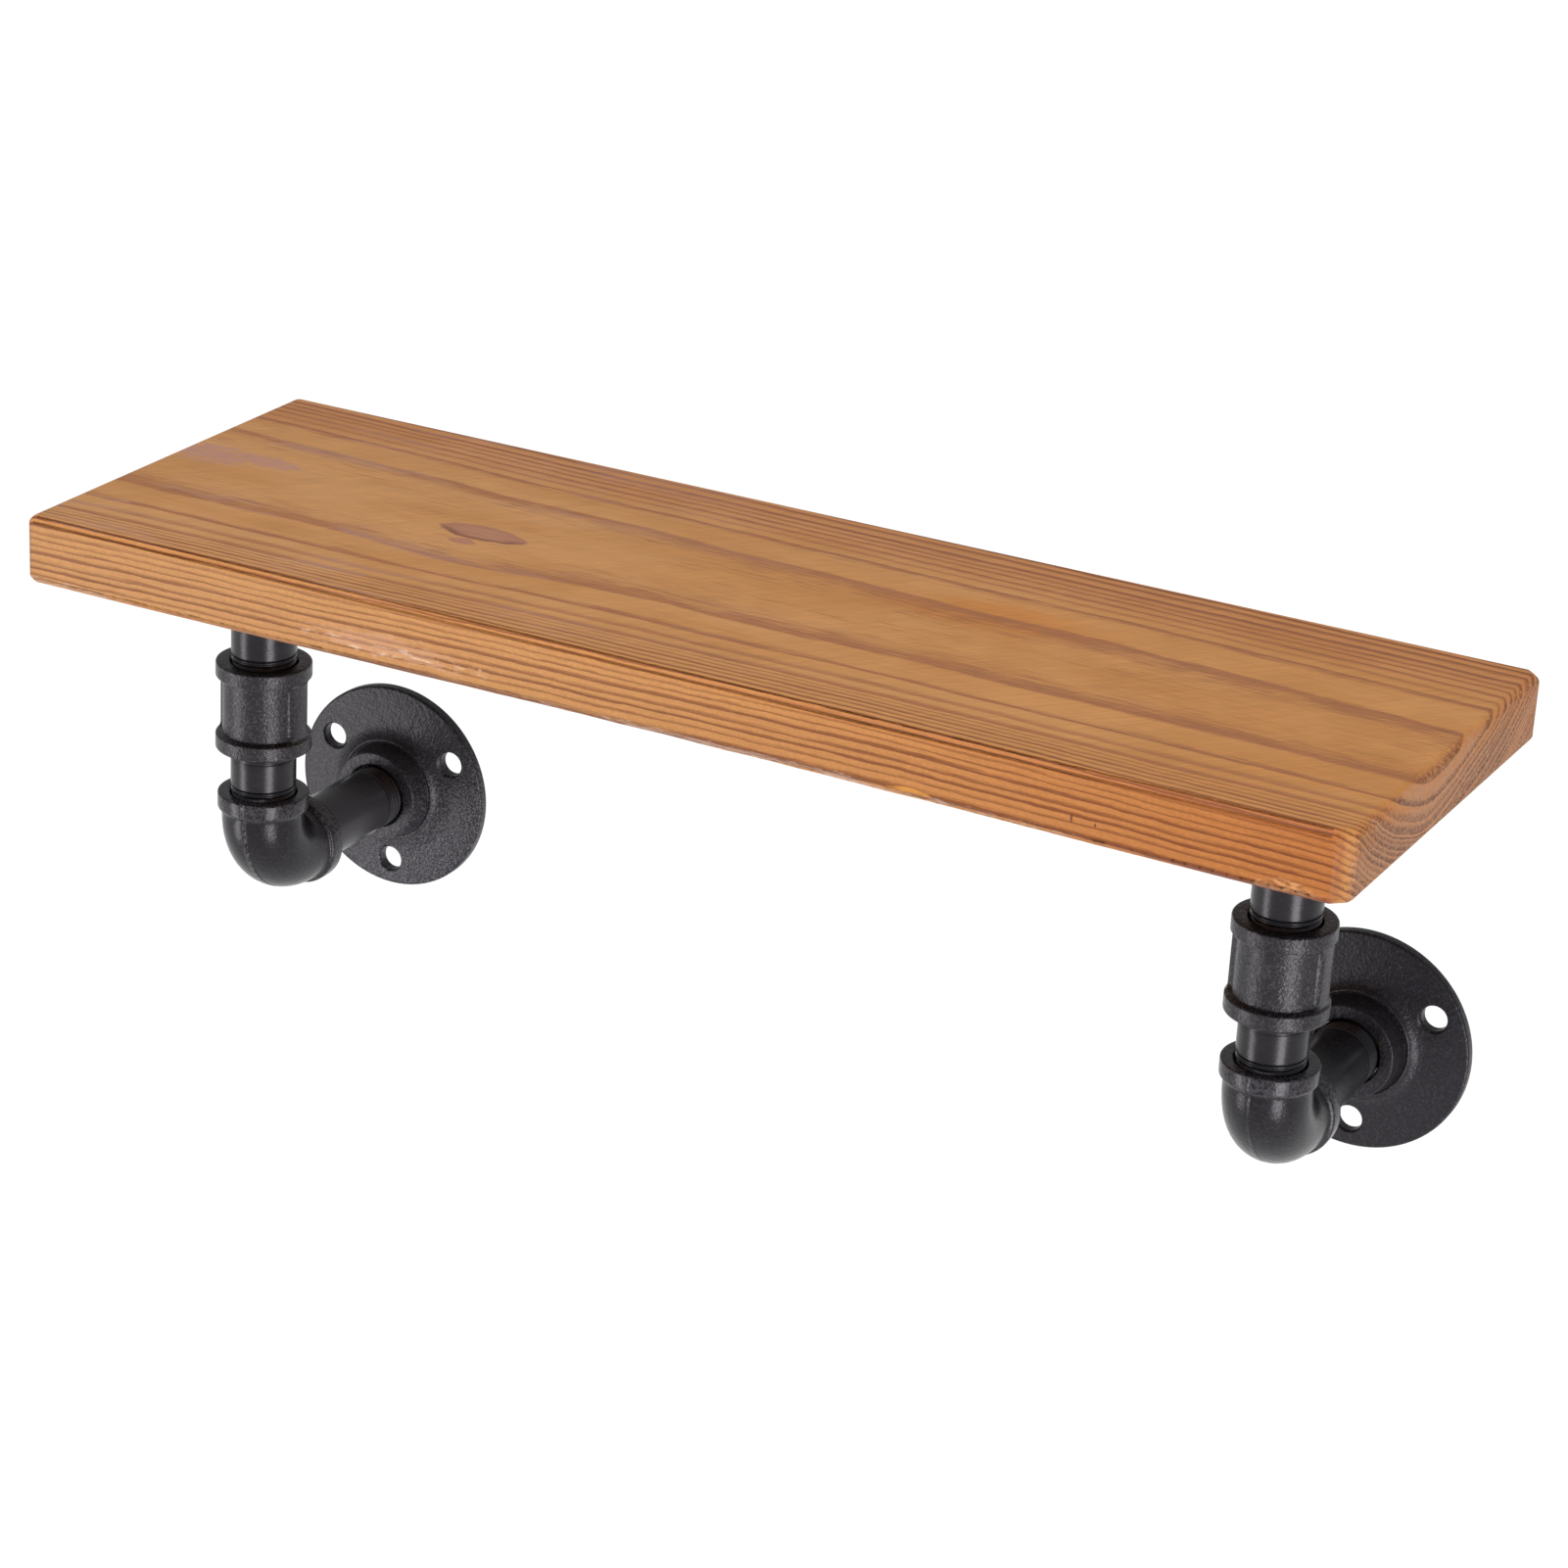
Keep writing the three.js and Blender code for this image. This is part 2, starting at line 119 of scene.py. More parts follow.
# The air round the shelf: an even pale light from all sides. It fills the shadows, and it is what shows
# of the studio above the far edge of the floor.
air_white = (0.96, 0.98, 1.0, 1)
air_light = 0.45
world = bpy.data.worlds.new("studio_air")
bpy.context.scene.world = world
world.use_nodes = True
tree = world.node_tree
tree.nodes.clear()
air = add_node(tree, "ShaderNodeBackground", {"Color": air_white, "Strength": air_light})
add_node(tree, "ShaderNodeOutputWorld", {"Surface": air.outputs[0]})


# The lamps: a tall soft box on each side in front of the shelf, and a broad one overhead. Their
# reflections are the two upright streaks on each leg of the real shelf.
def soft_box(name, azimuth, elevation, distance, width, height, watts):
    lamp = bpy.data.lights.new(name, "AREA")
    lamp.shape = "RECTANGLE"
    lamp.size = width
    lamp.size_y = height
    lamp.energy = watts
    turn, rise = math.radians(azimuth), math.radians(elevation)
    away = Vector((math.sin(turn) * math.cos(rise), -math.cos(turn) * math.cos(rise), math.sin(rise)))
    holder = bpy.data.objects.new(name, lamp)
    facing = away.to_track_quat("Z", "Y").to_matrix().to_4x4()
    holder.matrix_world = Matrix.Translation(away * distance) @ facing
    bpy.context.scene.collection.objects.link(holder)
    return holder


soft_box("right_soft_box", azimuth=51, elevation=-16, distance=2.4, width=0.80, height=1.8, watts=43)
soft_box("left_soft_box", azimuth=-44, elevation=-16, distance=2.5, width=0.68, height=1.8, watts=25)
soft_box("overhead_soft_box", azimuth=0, elevation=62, distance=1.7, width=1.3, height=0.9, watts=21)


# The board: one flat-sawn pine plank. It is planed, its edges are chamfered and its upright corners
# cut, the right ones deeper, all of them are sanded soft, and it is rubbed with a brown oil that
# leaves a satin skin. The ends were sawn a little out of square, and the lower front edge is worn.
board_chamfer = 0.0019
front_corner_in = {-1: 0.0030, 1: 0.0013}
corner_cuts = {(-1, -1): 0.0018, (1, -1): 0.0050, (-1, 1): 0.0020, (1, 1): 0.0036}
sanded_round = 0.0007
skin_margin = 0.0006
wide_face_area = 0.0001
board_slices = 110
edge_wear = 0.0024
worn_width = 0.0045
worn_middle = 0.015
worn_spread = 0.115
unworn_end = 0.004
long_chips_a_metre = 55
short_chips_a_metre = 190
board_low, board_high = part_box("shelf_board")

plank = bmesh.new()
bmesh.ops.create_cube(plank, size=1)
bmesh.ops.scale(plank, vec=board_high - board_low, verts=plank.verts)
board_middle = (board_low + board_high) / 2
bmesh.ops.translate(plank, vec=board_middle, verts=plank.verts)
for vert in plank.verts:
    if vert.co.y < board_middle.y:
        way = -1 if vert.co.x < board_middle.x else 1
        vert.co.x -= way * front_corner_in[way]
for (way_x, way_y), cut in corner_cuts.items():
    corner = [edge for edge in plank.edges if abs(edge.verts[0].co.z - edge.verts[1].co.z) > skin_margin
              and (edge.verts[0].co.x - board_middle.x) * way_x > 0
              and (edge.verts[0].co.y - board_middle.y) * way_y > 0]
    bmesh.ops.bevel(plank, geom=corner, offset=cut, segments=1, profile=0.5, affect="EDGES", material=-1)
rim_edges = [edge for edge in plank.edges if abs(edge.verts[0].co.z - edge.verts[1].co.z) < skin_margin]
bmesh.ops.bevel(plank, geom=rim_edges, offset=board_chamfer, segments=1, profile=0.5,
                affect="EDGES", material=-1)
bmesh.ops.bevel(plank, geom=plank.edges[:], offset=sanded_round, segments=3, profile=0.5,
                affect="EDGES", material=-1)
wide_faces = [face for face in plank.faces if face.calc_area() > wide_face_area]
bmesh.ops.inset_individual(plank, faces=wide_faces, thickness=skin_margin)
for step in range(1, board_slices):
    cut_place = Vector((board_low.x + (board_high.x - board_low.x) * step / board_slices, 0, 0))
    bmesh.ops.bisect_plane(plank, geom=plank.verts[:] + plank.edges[:] + plank.faces[:], dist=0.000001,
                           plane_co=cut_place, plane_no=Vector((1, 0, 0)))
for vert in plank.verts:
    from_edge = max(vert.co.y - board_low.y, vert.co.z - board_low.z)
    hold = max(0, 1 - from_edge / worn_width)
    if hold == 0 or abs(vert.co.x) > board_high.x - unworn_end:
        continue
    middle_wear = math.exp(-((vert.co.x - worn_middle) / worn_spread) ** 2)
    long_chips = noise.noise(Vector((vert.co.x * long_chips_a_metre, 0.3, 0))) * 0.2
    short_chips = noise.noise(Vector((vert.co.x * short_chips_a_metre, 7, 0))) * 0.1
    wear = edge_wear * hold * middle_wear * (0.9 + long_chips + short_chips)
    vert.co.z += wear
    vert.co.y += wear * 0.5
for vert in plank.verts:
    for axis in range(3):
        vert.co[axis] = min(max(vert.co[axis], board_low[axis]), board_high[axis])


# Puts finished mesh work in its place and makes it a named piece that stands for its CAD node.
def finish_piece(name, work, put, node, finish, sharp_angle=35):
    bmesh.ops.transform(work, matrix=put, verts=work.verts)
    bmesh.ops.recalc_face_normals(work, faces=work.faces[:])
    mesh = bpy.data.meshes.new(name)
    work.to_mesh(mesh)
    work.free()
    mesh.shade_smooth()
    mesh.set_sharp_from_angle(angle=math.radians(sharp_angle))
    mesh.materials.append(finish)
    piece = bpy.data.objects.new(name, mesh)
    bpy.context.scene.collection.objects.link(piece)
    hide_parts(node)
    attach(piece, "root")


# A new finish with an empty tree, and each spot's place on the shelf in millimetres.
def new_finish(name):
    finish = bpy.data.materials.new(name)
    finish.use_nodes = True
    tree = finish.node_tree
    tree.nodes.clear()
    metres = add_node(tree, "ShaderNodeTexCoord").outputs["Object"]
    place = add_node(tree, "ShaderNodeMapping", {"Vector": metres, "Scale": (1000, 1000, 1000)}).outputs[0]
    return finish, tree, place


# One step of arithmetic in a tree of nodes. It gives the answer's socket.
def figure(tree, operation, *values):
    return add_node(tree, "ShaderNodeMath", dict(enumerate(values)), operation=operation).outputs[0]


# The product of two or more values.
def scaled(tree, value, *factors):
    for factor in factors:
        value = figure(tree, "MULTIPLY", value, factor)
    return value


# The long side of a right-angled corner, from its two short sides.
def slant(tree, first, second):
    return figure(tree, "SQRT", figure(tree, "ADD", scaled(tree, first, first), scaled(tree, second, second)))


# A value between two others, by a share.
def between(tree, share, first, second):
    rest = figure(tree, "SUBTRACT", 1.0, share)
    return figure(tree, "ADD", scaled(tree, second, share), scaled(tree, first, rest))


# A share from 0 to 1 that rises smoothly while a value goes from low to high.
def rise_between(tree, value, low, high):
    node = add_node(tree, "ShaderNodeMapRange", {"Value": value, "From Min": low, "From Max": high},
                    interpolation_type="SMOOTHSTEP")
    return node.outputs["Result"]


# Streaks or grain: a noise whose scale is set apart for X, Y and Z, in features per millimetre.
def streaks(tree, place, scale, detail=2.0, roughness=0.5):
    stretched = add_node(tree, "ShaderNodeVectorMath", {0: place, 1: scale}, operation="MULTIPLY")
    node = add_node(tree, "ShaderNodeTexNoise", {"Vector": stretched.outputs[0], "Scale": 1.0,
                                                 "Detail": detail, "Roughness": roughness})
    return node.outputs["Fac"]


# A blend of two colours by a share.
def blend_colours(tree, share, first, second, blend_type="MIX"):
    node = add_node(tree, "ShaderNodeMix", data_type="RGBA", blend_type=blend_type)
    for socket, value in zip((node.inputs[0], node.inputs[6], node.inputs[7]), (share, first, second)):
        if isinstance(value, bpy.types.NodeSocket):
            tree.links.new(value, socket)
        else:
            socket.default_value = value
    return node.outputs[2]


# A curve through given points, smooth or straight between them, from one span to another.
def traced(tree, value, points, span_in, span_out, line_kind="AUTO_CLAMPED"):
    (low_in, high_in), (low_out, high_out) = span_in, span_out
    share = add_node(tree, "ShaderNodeMapRange", {"Value": value, "From Min": low_in, "From Max": high_in})
    curve = add_node(tree, "ShaderNodeFloatCurve", {"Value": share.outputs["Result"]})
    line = curve.mapping.curves[0]
    while len(line.points) < len(points):
        line.points.new(0.5, 0.5)
    for dot, (given, wanted) in zip(line.points, points):
        dot.location = ((given - low_in) / (high_in - low_in), (wanted - low_out) / (high_out - low_out))
        dot.handle_type = line_kind
    curve.mapping.update()
    back = add_node(tree, "ShaderNodeMapRange", {"Value": curve.outputs["Value"], "To Min": low_out,
                                                 "To Max": high_out})
    return back.outputs["Result"]


# How far a place is from the middle of an oval, where 1 is on the oval's line.
def oval(tree, one_way, other_way, middle, half):
    first = figure(tree, "DIVIDE", figure(tree, "SUBTRACT", one_way, middle[0]), half[0])
    second = figure(tree, "DIVIDE", figure(tree, "SUBTRACT", other_way, middle[1]), half[1])
    return slant(tree, first, second)


# The outer skin of a finish: its colour, its dullness and its relief, and any other values of the shader.
def lay_skin(tree, colour, dullness, height, strength, depth, others):
    relief = add_node(tree, "ShaderNodeBump", {"Strength": strength, "Distance": depth, "Height": height})
    shader = add_node(tree, "ShaderNodeBsdfPrincipled", {"Base Color": colour, "Roughness": dullness,
                                                         "Normal": relief.outputs[0], **others})
    add_node(tree, "ShaderNodeOutputMaterial", {"Surface": shader.outputs[0]})
    return relief, shader


# The wood is worked out in millimetres round the tree's pith, which ran along the board about 85 mm
# above its top face. Every face is then cut through the same rings, as in the real plank. The rings
# lie closer together on the wall side, each side swells and shrinks a little along the board, and in
# front of the knot the rings are pushed aside.
board_top = board_high.z * 1000
board_front = board_low.y * 1000
board_end = board_high.x * 1000
pith_across = -76
pith_above = 85.3
board_span = (-220, 220)
swell_span = (-4, 4)
radius_span = (80, 136)
ring_span = (0, 22)
whole_share = (0, 1)
front_rings = [(80, 0.2), (90.3, 1), (96.2, 2), (100.5, 3), (103.95, 4), (105.15, 5), (106.75, 6), (108.4, 7),
               (110.05, 8), (112.0, 9), (114.0, 10), (115.8, 11), (117.4, 12), (118.95, 13), (120.9, 14),
               (123.1, 15), (124.8, 16), (126.6, 17), (129.3, 18), (131.8, 19), (136, 21.5)]
rear_rings = [(80, 0.2), (89.1, 1), (95.6, 2), (98.1, 3), (100.6, 4), (102.9, 5), (105.0, 6), (107.4, 7),
              (110.9, 8), (113.5, 9), (115.6, 10), (136, 21.5)]
late_forces = [(0, 0.85), (1, 0.95), (2, 0.6), (3, 0.85), (4, 1.0), (5, 0.75), (6, 1.0), (7, 0.8), (8, 1.0),
               (9, 0.9), (10, 0.55), (11, 0.6), (12, 0.8), (13, 0.95), (14, 0.8), (15, 1.0), (16, 0.7),
               (17, 1.0), (18, 0.85), (19, 1.0), (22, 0.9)]
front_swell = [(-220, 2.3), (-150, 1.7), (-105, 1.35), (-60, 0.70), (0, 0.0), (55, -0.40), (100, -0.2),
               (140, 0.35), (180, 0.7), (220, 1.5)]
rear_swell = [(-220, 3.5), (-150, 2.2), (-105, 1.3), (-60, 0.8), (0, 0.0), (60, -0.8), (140, -1.6),
              (220, -2.7)]
knot_push_place = (-92, -101), (46, 28)
late_shares = [(80, 0.12), (90, 0.15), (96, 0.21), (100, 0.29), (104, 0.38), (136, 0.30)]

oiled_pine, tree, place = new_finish("oiled_pine")
along, across, up = add_node(tree, "ShaderNodeSeparateXYZ", {0: place}).outputs

from_pith_y = figure(tree, "SUBTRACT", across, pith_across)
from_pith_z = figure(tree, "SUBTRACT", up, board_top + pith_above)
radius = slant(tree, from_pith_y, from_pith_z)
rear_side = rise_between(tree, across, pith_across - 22, pith_across + 22)
end_in = figure(tree, "MULTIPLY_ADD", rise_between(tree, along, -1, 1),
                (front_corner_in[1] - front_corner_in[-1]) * 1000, front_corner_in[-1] * 1000)
end_in = scaled(tree, end_in, figure(tree, "DIVIDE", across, board_front))
end_here = figure(tree, "SUBTRACT", board_end, end_in)
room_x = figure(tree, "SUBTRACT", end_here, figure(tree, "ABSOLUTE", along))
end_share = rise_between(tree, room_x, 1.6, 0.5)
outer_share = rise_between(tree, radius, 86, 100)
swell_front = scaled(tree, traced(tree, along, front_swell, board_span, swell_span),
                     figure(tree, "MULTIPLY_ADD", outer_share, 0.65, 0.35))
swell_rear = traced(tree, along, rear_swell, board_span, swell_span)
radius = figure(tree, "SUBTRACT", radius, between(tree, rear_side, swell_front, swell_rear))
slow_wander = figure(tree, "SUBTRACT", streaks(tree, place, (0.016, 0.03, 0.03), 1.0), 0.5)
quick_wander = figure(tree, "SUBTRACT", streaks(tree, place, (0.05, 0.12, 0.12), 2.0), 0.5)
tiny_wander = figure(tree, "SUBTRACT", streaks(tree, place, (0.22, 0.6, 0.6), 2.0), 0.5)
radius = figure(tree, "MULTIPLY_ADD", slow_wander, 1.3, radius)
radius = figure(tree, "MULTIPLY_ADD", quick_wander, 0.9, radius)
radius = figure(tree, "MULTIPLY_ADD", tiny_wander, 0.35, radius)
knot_push = rise_between(tree, oval(tree, along, across, *knot_push_place), 1.0, 0.0)
radius = figure(tree, "MULTIPLY_ADD", knot_push, -1.9, radius)

# Growth rings: pale early wood darkens outwards into late wood in streaks, then stops sharply. The
# wide rings near the pith have only a thin dark line, and the narrow outer ones are nearly half dark.
rings_at_rear = traced(tree, radius, rear_rings, radius_span, ring_span, "VECTOR")
rings_at_front = traced(tree, radius, front_rings, radius_span, ring_span, "VECTOR")
rings = between(tree, rear_side, rings_at_front, rings_at_rear)
ring_number = figure(tree, "FLOOR", rings)
ring_share = figure(tree, "FRACT", rings)
ring_luck = add_node(tree, "ShaderNodeTexWhiteNoise", {"W": ring_number}, noise_dimensions="1D").outputs[0]
late_share = traced(tree, radius, late_shares, radius_span, whole_share, "VECTOR")
late_share = scaled(tree, late_share, figure(tree, "MULTIPLY_ADD", ring_luck, 0.5, 0.75),
                    figure(tree, "MULTIPLY_ADD", end_share, 0.65, 1.0))
late_start = figure(tree, "SUBTRACT", 1.0, scaled(tree, late_share, 1.6))
late_full = figure(tree, "SUBTRACT", 1.0, scaled(tree, late_share, 0.55))
fibre = streaks(tree, place, (0.045, 1.3, 1.3), 3.0, 0.68)
streaky_share = figure(tree, "MULTIPLY_ADD", figure(tree, "SUBTRACT", fibre, 0.5), 0.9, ring_share)
late_wood = scaled(tree, rise_between(tree, streaky_share, late_start, late_full),
                   rise_between(tree, ring_share, 1.0, 0.955))
late_force = traced(tree, ring_number, late_forces, ring_span, whole_share, "VECTOR")
late_wood = scaled(tree, late_wood, late_force)

# Fibres and resin canals: fine streaks along the board, short dark dashes near the late wood, and the
# faint slanting marks of the sanding.
broad_fibre = streaks(tree, place, (0.015, 0.33, 0.33), 3.0, 0.6)
clouds = streaks(tree, place, (0.016, 0.04, 0.04), 3.0, 0.55)
dashes = rise_between(tree, streaks(tree, place, (0.055, 2.4, 2.4), 1.0), 0.60, 0.66)
near_late = rise_between(tree, ring_share, 0.35, 0.8)
dash_patch = rise_between(tree, streaks(tree, place, (0.025, 0.1, 0.1), 1.0), 0.42, 0.58)
dashes = scaled(tree, dashes, near_late, dash_patch)
turned_place = add_node(tree, "ShaderNodeMapping", {"Vector": place, "Rotation": (0, 0, 0.75)}).outputs[0]
sanding = rise_between(tree, streaks(tree, turned_place, (1.1, 0.05, 1.1), 2.0, 0.6), 0.38, 0.68)

# Cut ends: the sawn faces show open pores, drink more oil and dry duller.
end_pores = streaks(tree, place, (0.6, 1.3, 1.3), 2.0, 0.6)

# Chamfers: the sanded edges hold more oil than the flat faces and look warmer, least at the two ends.
room_y = figure(tree, "SUBTRACT", -board_front / 2,
                figure(tree, "ABSOLUTE", figure(tree, "SUBTRACT", across, board_front / 2)))
room_z = figure(tree, "SUBTRACT", (board_high.z - board_low.z) * 500,
                figure(tree, "ABSOLUTE", figure(tree, "SUBTRACT", up, (board_low.z + board_high.z) * 500)))
edge_room = figure(tree, "ADD", figure(tree, "MINIMUM", room_x, room_y), room_z)
less_at_ends = figure(tree, "MULTIPLY_ADD", rise_between(tree, room_x, 3.4, 2.2), -0.7, 1.0)
edge_oil = scaled(tree, rise_between(tree, edge_room, 2.9, 2.0), less_at_ends)

# Marks of this plank: an oval knot with a small tail and a purplish patch on the top, and on the front
# a rubbed place with pale bare streaks that are partly painted glare, a worn lower edge that is partly
# painted glare, an amber chip with painted shade on its left side, a splintered corner and two dark
# ticks. Each place is an oval on its face, given in millimetres by its middle and its two half lengths.
knot_place = (-95, -82.6), (14.8, 6.0)
tail_place = (-96.5, -92.3), (4.5, 2.6)
patch_place = (-207, -68), (15, 8)
patch_tail_place = (-190, -65), (17, 4.5)
rub_place = (-86, 116.8), (27, 3.6)
bare_and_glare_place = (-86, 115.6), (30, 1.9)
worn_glare_place = (48, 110.7), (80, 1.5)
worn_left_glare_place = (-197, 110.4), (22, 1.5)
amber_place = (88, 111.6), (7.5, 2.0)
splinter_place = (201, 111.4), (9, 2.6)
long_tick_place = (137.6, 116.2), (0.4, 1.4)
short_tick_place = (144.8, 115.8), (0.35, 0.7)
ragged = figure(tree, "SUBTRACT", streaks(tree, place, (0.13, 0.3, 0.3), 3.0), 0.5)
on_front = rise_between(tree, across, board_front + 1.2, board_front + 0.4)
knot_edge = figure(tree, "MULTIPLY_ADD", ragged, 0.45, oval(tree, along, across, *knot_place))
knot = rise_between(tree, knot_edge, 1.06, 0.92)
knot_shadow = figure(tree, "MULTIPLY_ADD", rise_between(tree, across, -81, -86), 0.8, 0.2)
knot_rim = scaled(tree, knot, rise_between(tree, knot_edge, 0.55, 0.95), knot_shadow)
tail_edge = figure(tree, "ADD", oval(tree, along, across, *tail_place), ragged)
knot = figure(tree, "MAXIMUM", knot, rise_between(tree, tail_edge, 1.05, 0.8))
torn = figure(tree, "SUBTRACT", streaks(tree, place, (0.16, 0.45, 0.45), 4.0, 0.7), 0.5)
shreds = streaks(tree, place, (0.11, 0.75, 0.75), 4.0, 0.7)
patch_edge = figure(tree, "MINIMUM", oval(tree, along, across, *patch_place),
                    oval(tree, along, across, *patch_tail_place))
patch = rise_between(tree, figure(tree, "MULTIPLY_ADD", torn, 3.2, patch_edge), 1.15, 0.8)
patch_shreds = figure(tree, "MULTIPLY_ADD", rise_between(tree, shreds, 0.40, 0.54), 0.7, 0.3)
patch = scaled(tree, patch, patch_shreds)
rub_edge = figure(tree, "MULTIPLY_ADD", torn, 3.6, oval(tree, along, up, *rub_place))
rub = scaled(tree, rise_between(tree, rub_edge, 1.1, 0.7), on_front)
# The pale streaks of the rub are partly bare, scuffed wood and partly painted glare.
bare_and_glare_edge = figure(tree, "MULTIPLY_ADD", torn, 4.0, oval(tree, along, up, *bare_and_glare_place))
bare_and_glare = scaled(tree, rise_between(tree, bare_and_glare_edge, 1.1, 0.5), on_front, rise_between(tree, shreds, 0.50, 0.62))
# The pale lower front edge is partly real wear and partly a painted glare strip along it.
worn_glare_line = figure(tree, "MULTIPLY_ADD", torn, 3.0, oval(tree, along, up, *worn_glare_place))
worn_left_glare = figure(tree, "MULTIPLY_ADD", torn, 3.0, oval(tree, along, up, *worn_left_glare_place))
worn_edge_and_glare = rise_between(tree, figure(tree, "MINIMUM", worn_glare_line, worn_left_glare), 1.05, 0.7)
near_front = rise_between(tree, across, board_front + 3.5, board_front + 2.5)
worn_edge_and_glare = scaled(tree, worn_edge_and_glare, near_front, rise_between(tree, shreds, 0.44, 0.56))
amber_edge = figure(tree, "MULTIPLY_ADD", ragged, 0.7, oval(tree, along, up, *amber_place))
amber = scaled(tree, rise_between(tree, amber_edge, 1.05, 0.9), on_front)
# The chip is sunk, and its left side is darker: painted shade in the chip.
amber_painted_shade = scaled(tree, amber, rise_between(tree, along, 86, 82))
splinter_edge = figure(tree, "MULTIPLY_ADD", ragged, 1.5, oval(tree, along, up, *splinter_place))
splinter = rise_between(tree, splinter_edge, 1.05, 0.7)
tick = figure(tree, "MINIMUM", oval(tree, along, up, *long_tick_place),
              oval(tree, along, up, *short_tick_place))
tick = scaled(tree, rise_between(tree, tick, 1.1, 0.6), on_front)

# Colours: pale early wood, dark late wood that turns lilac here and there on the top, an orange cloud,
# warmer wood to the right and on the front, and a greyer brown on the sawn ends. A tint multiplies
# the colour under it.
early_brown = (0.419, 0.191, 0.058, 1)
early_gold = (0.471, 0.231, 0.084, 1)
early_fibre = (0.500, 0.220, 0.068, 1)
early_narrow = (0.474, 0.221, 0.075, 1)
late_wide = (0.285, 0.100, 0.036, 1)
late_narrow = (0.210, 0.068, 0.017, 1)
late_lilac = (0.345, 0.170, 0.125, 1)
canal_brown = (0.19, 0.062, 0.022, 1)
end_early = (0.435, 0.204, 0.098, 1)
end_late = (0.148, 0.056, 0.026, 1)
end_pore = (0.53, 0.28, 0.155, 1)
knot_dark = (0.280, 0.114, 0.072, 1)
knot_light = (0.367, 0.163, 0.103, 1)
splinter_dark = (0.26, 0.085, 0.022, 1)
splinter_light = (0.60, 0.30, 0.13, 1)
right_tint = (1.08, 0.94, 0.68, 1)
orange_tint = (1.0, 0.84, 0.55, 1)
oily_end_tint = (1.12, 0.92, 0.52, 1)
rear_tint = (0.93, 0.86, 0.88, 1)
rear_end_tint = (1.25, 1.20, 1.15, 1)
front_tint = (0.76, 0.55, 0.41, 1)
edge_tint = (1.12, 0.93, 0.76, 1)
orange_place = (74, -50), (38, 21)
narrow_rings = rise_between(tree, radius, 103, 114)
right_share = rise_between(tree, along, -160, 200)
early_colour = blend_colours(tree, rise_between(tree, clouds, 0.35, 0.65), early_brown, early_gold)
early_colour = blend_colours(tree, scaled(tree, rise_between(tree, broad_fibre, 0.4, 0.75), 0.5),
                             early_colour, early_fibre)
early_colour = blend_colours(tree, narrow_rings, early_colour, early_narrow)
early_colour = blend_colours(tree, scaled(tree, right_share, 0.5), early_colour, right_tint, "MULTIPLY")
late_colour = blend_colours(tree, narrow_rings, late_wide, late_narrow)
lilac = rise_between(tree, streaks(tree, place, (0.022, 0.09, 0.09), 3.0, 0.6), 0.47, 0.60)
lilac = scaled(tree, lilac, rise_between(tree, along, 60, -150),
               rise_between(tree, up, board_top - 2.0, board_top - 0.4), 0.75)
late_colour = blend_colours(tree, lilac, late_colour, late_lilac)
orange_edge = figure(tree, "MULTIPLY_ADD", figure(tree, "SUBTRACT", clouds, 0.5), 3.0,
                     oval(tree, along, across, *orange_place))
orange = scaled(tree, rise_between(tree, orange_edge, 1.15, 0.3), 0.75)
early_colour = blend_colours(tree, orange, early_colour, orange_tint, "MULTIPLY")
wood_colour = blend_colours(tree, late_wood, early_colour, late_colour)
wood_colour = blend_colours(tree, scaled(tree, dashes, 0.6), wood_colour, canal_brown)
fibre_shade = figure(tree, "MULTIPLY_ADD", fibre, 0.42, 0.79)
fibre_shade = figure(tree, "MULTIPLY_ADD", sanding, 0.12, figure(tree, "SUBTRACT", fibre_shade, 0.06))
fibre_grey = add_node(tree, "ShaderNodeCombineColor", dict.fromkeys(range(3), fibre_shade)).outputs[0]
wood_colour = blend_colours(tree, 1.0, wood_colour, fibre_grey, "MULTIPLY")
end_colour = blend_colours(tree, late_wood, end_early, end_late)
end_speckle = scaled(tree, rise_between(tree, end_pores, 0.46, 0.64), 0.6)
end_colour = blend_colours(tree, end_speckle, end_colour, end_pore)
oily = rise_between(tree, figure(tree, "MULTIPLY_ADD", ring_luck, 0.3, clouds), 0.5, 0.75)
oily = scaled(tree, oily, rise_between(tree, up, board_top - 12, board_top - 3), 0.7)
end_colour = blend_colours(tree, oily, end_colour, oily_end_tint, "MULTIPLY")
rear_share = rise_between(tree, across, -36, -20)
wood_colour = blend_colours(tree, rear_share, wood_colour, rear_tint, "MULTIPLY")
end_colour = blend_colours(tree, scaled(tree, rear_share, 0.5), end_colour, rear_end_tint, "MULTIPLY")
wood_colour = blend_colours(tree, end_share, wood_colour, end_colour)
front_warmth = scaled(tree, rise_between(tree, across, board_front + 3.0, board_front + 1.2),
                      rise_between(tree, along, -60, 300))
wood_colour = blend_colours(tree, front_warmth, wood_colour, front_tint, "MULTIPLY")
wood_colour = blend_colours(tree, scaled(tree, edge_oil, 0.6), wood_colour, edge_tint, "MULTIPLY")
knot_colour = blend_colours(tree, rise_between(tree, fibre, 0.35, 0.65), knot_dark, knot_light)
splinter_lines = rise_between(tree, streaks(tree, place, (0.35, 1.1, 1.1), 3.0, 0.7), 0.42, 0.60)
splinter_colour = blend_colours(tree, splinter_lines, splinter_dark, splinter_light)
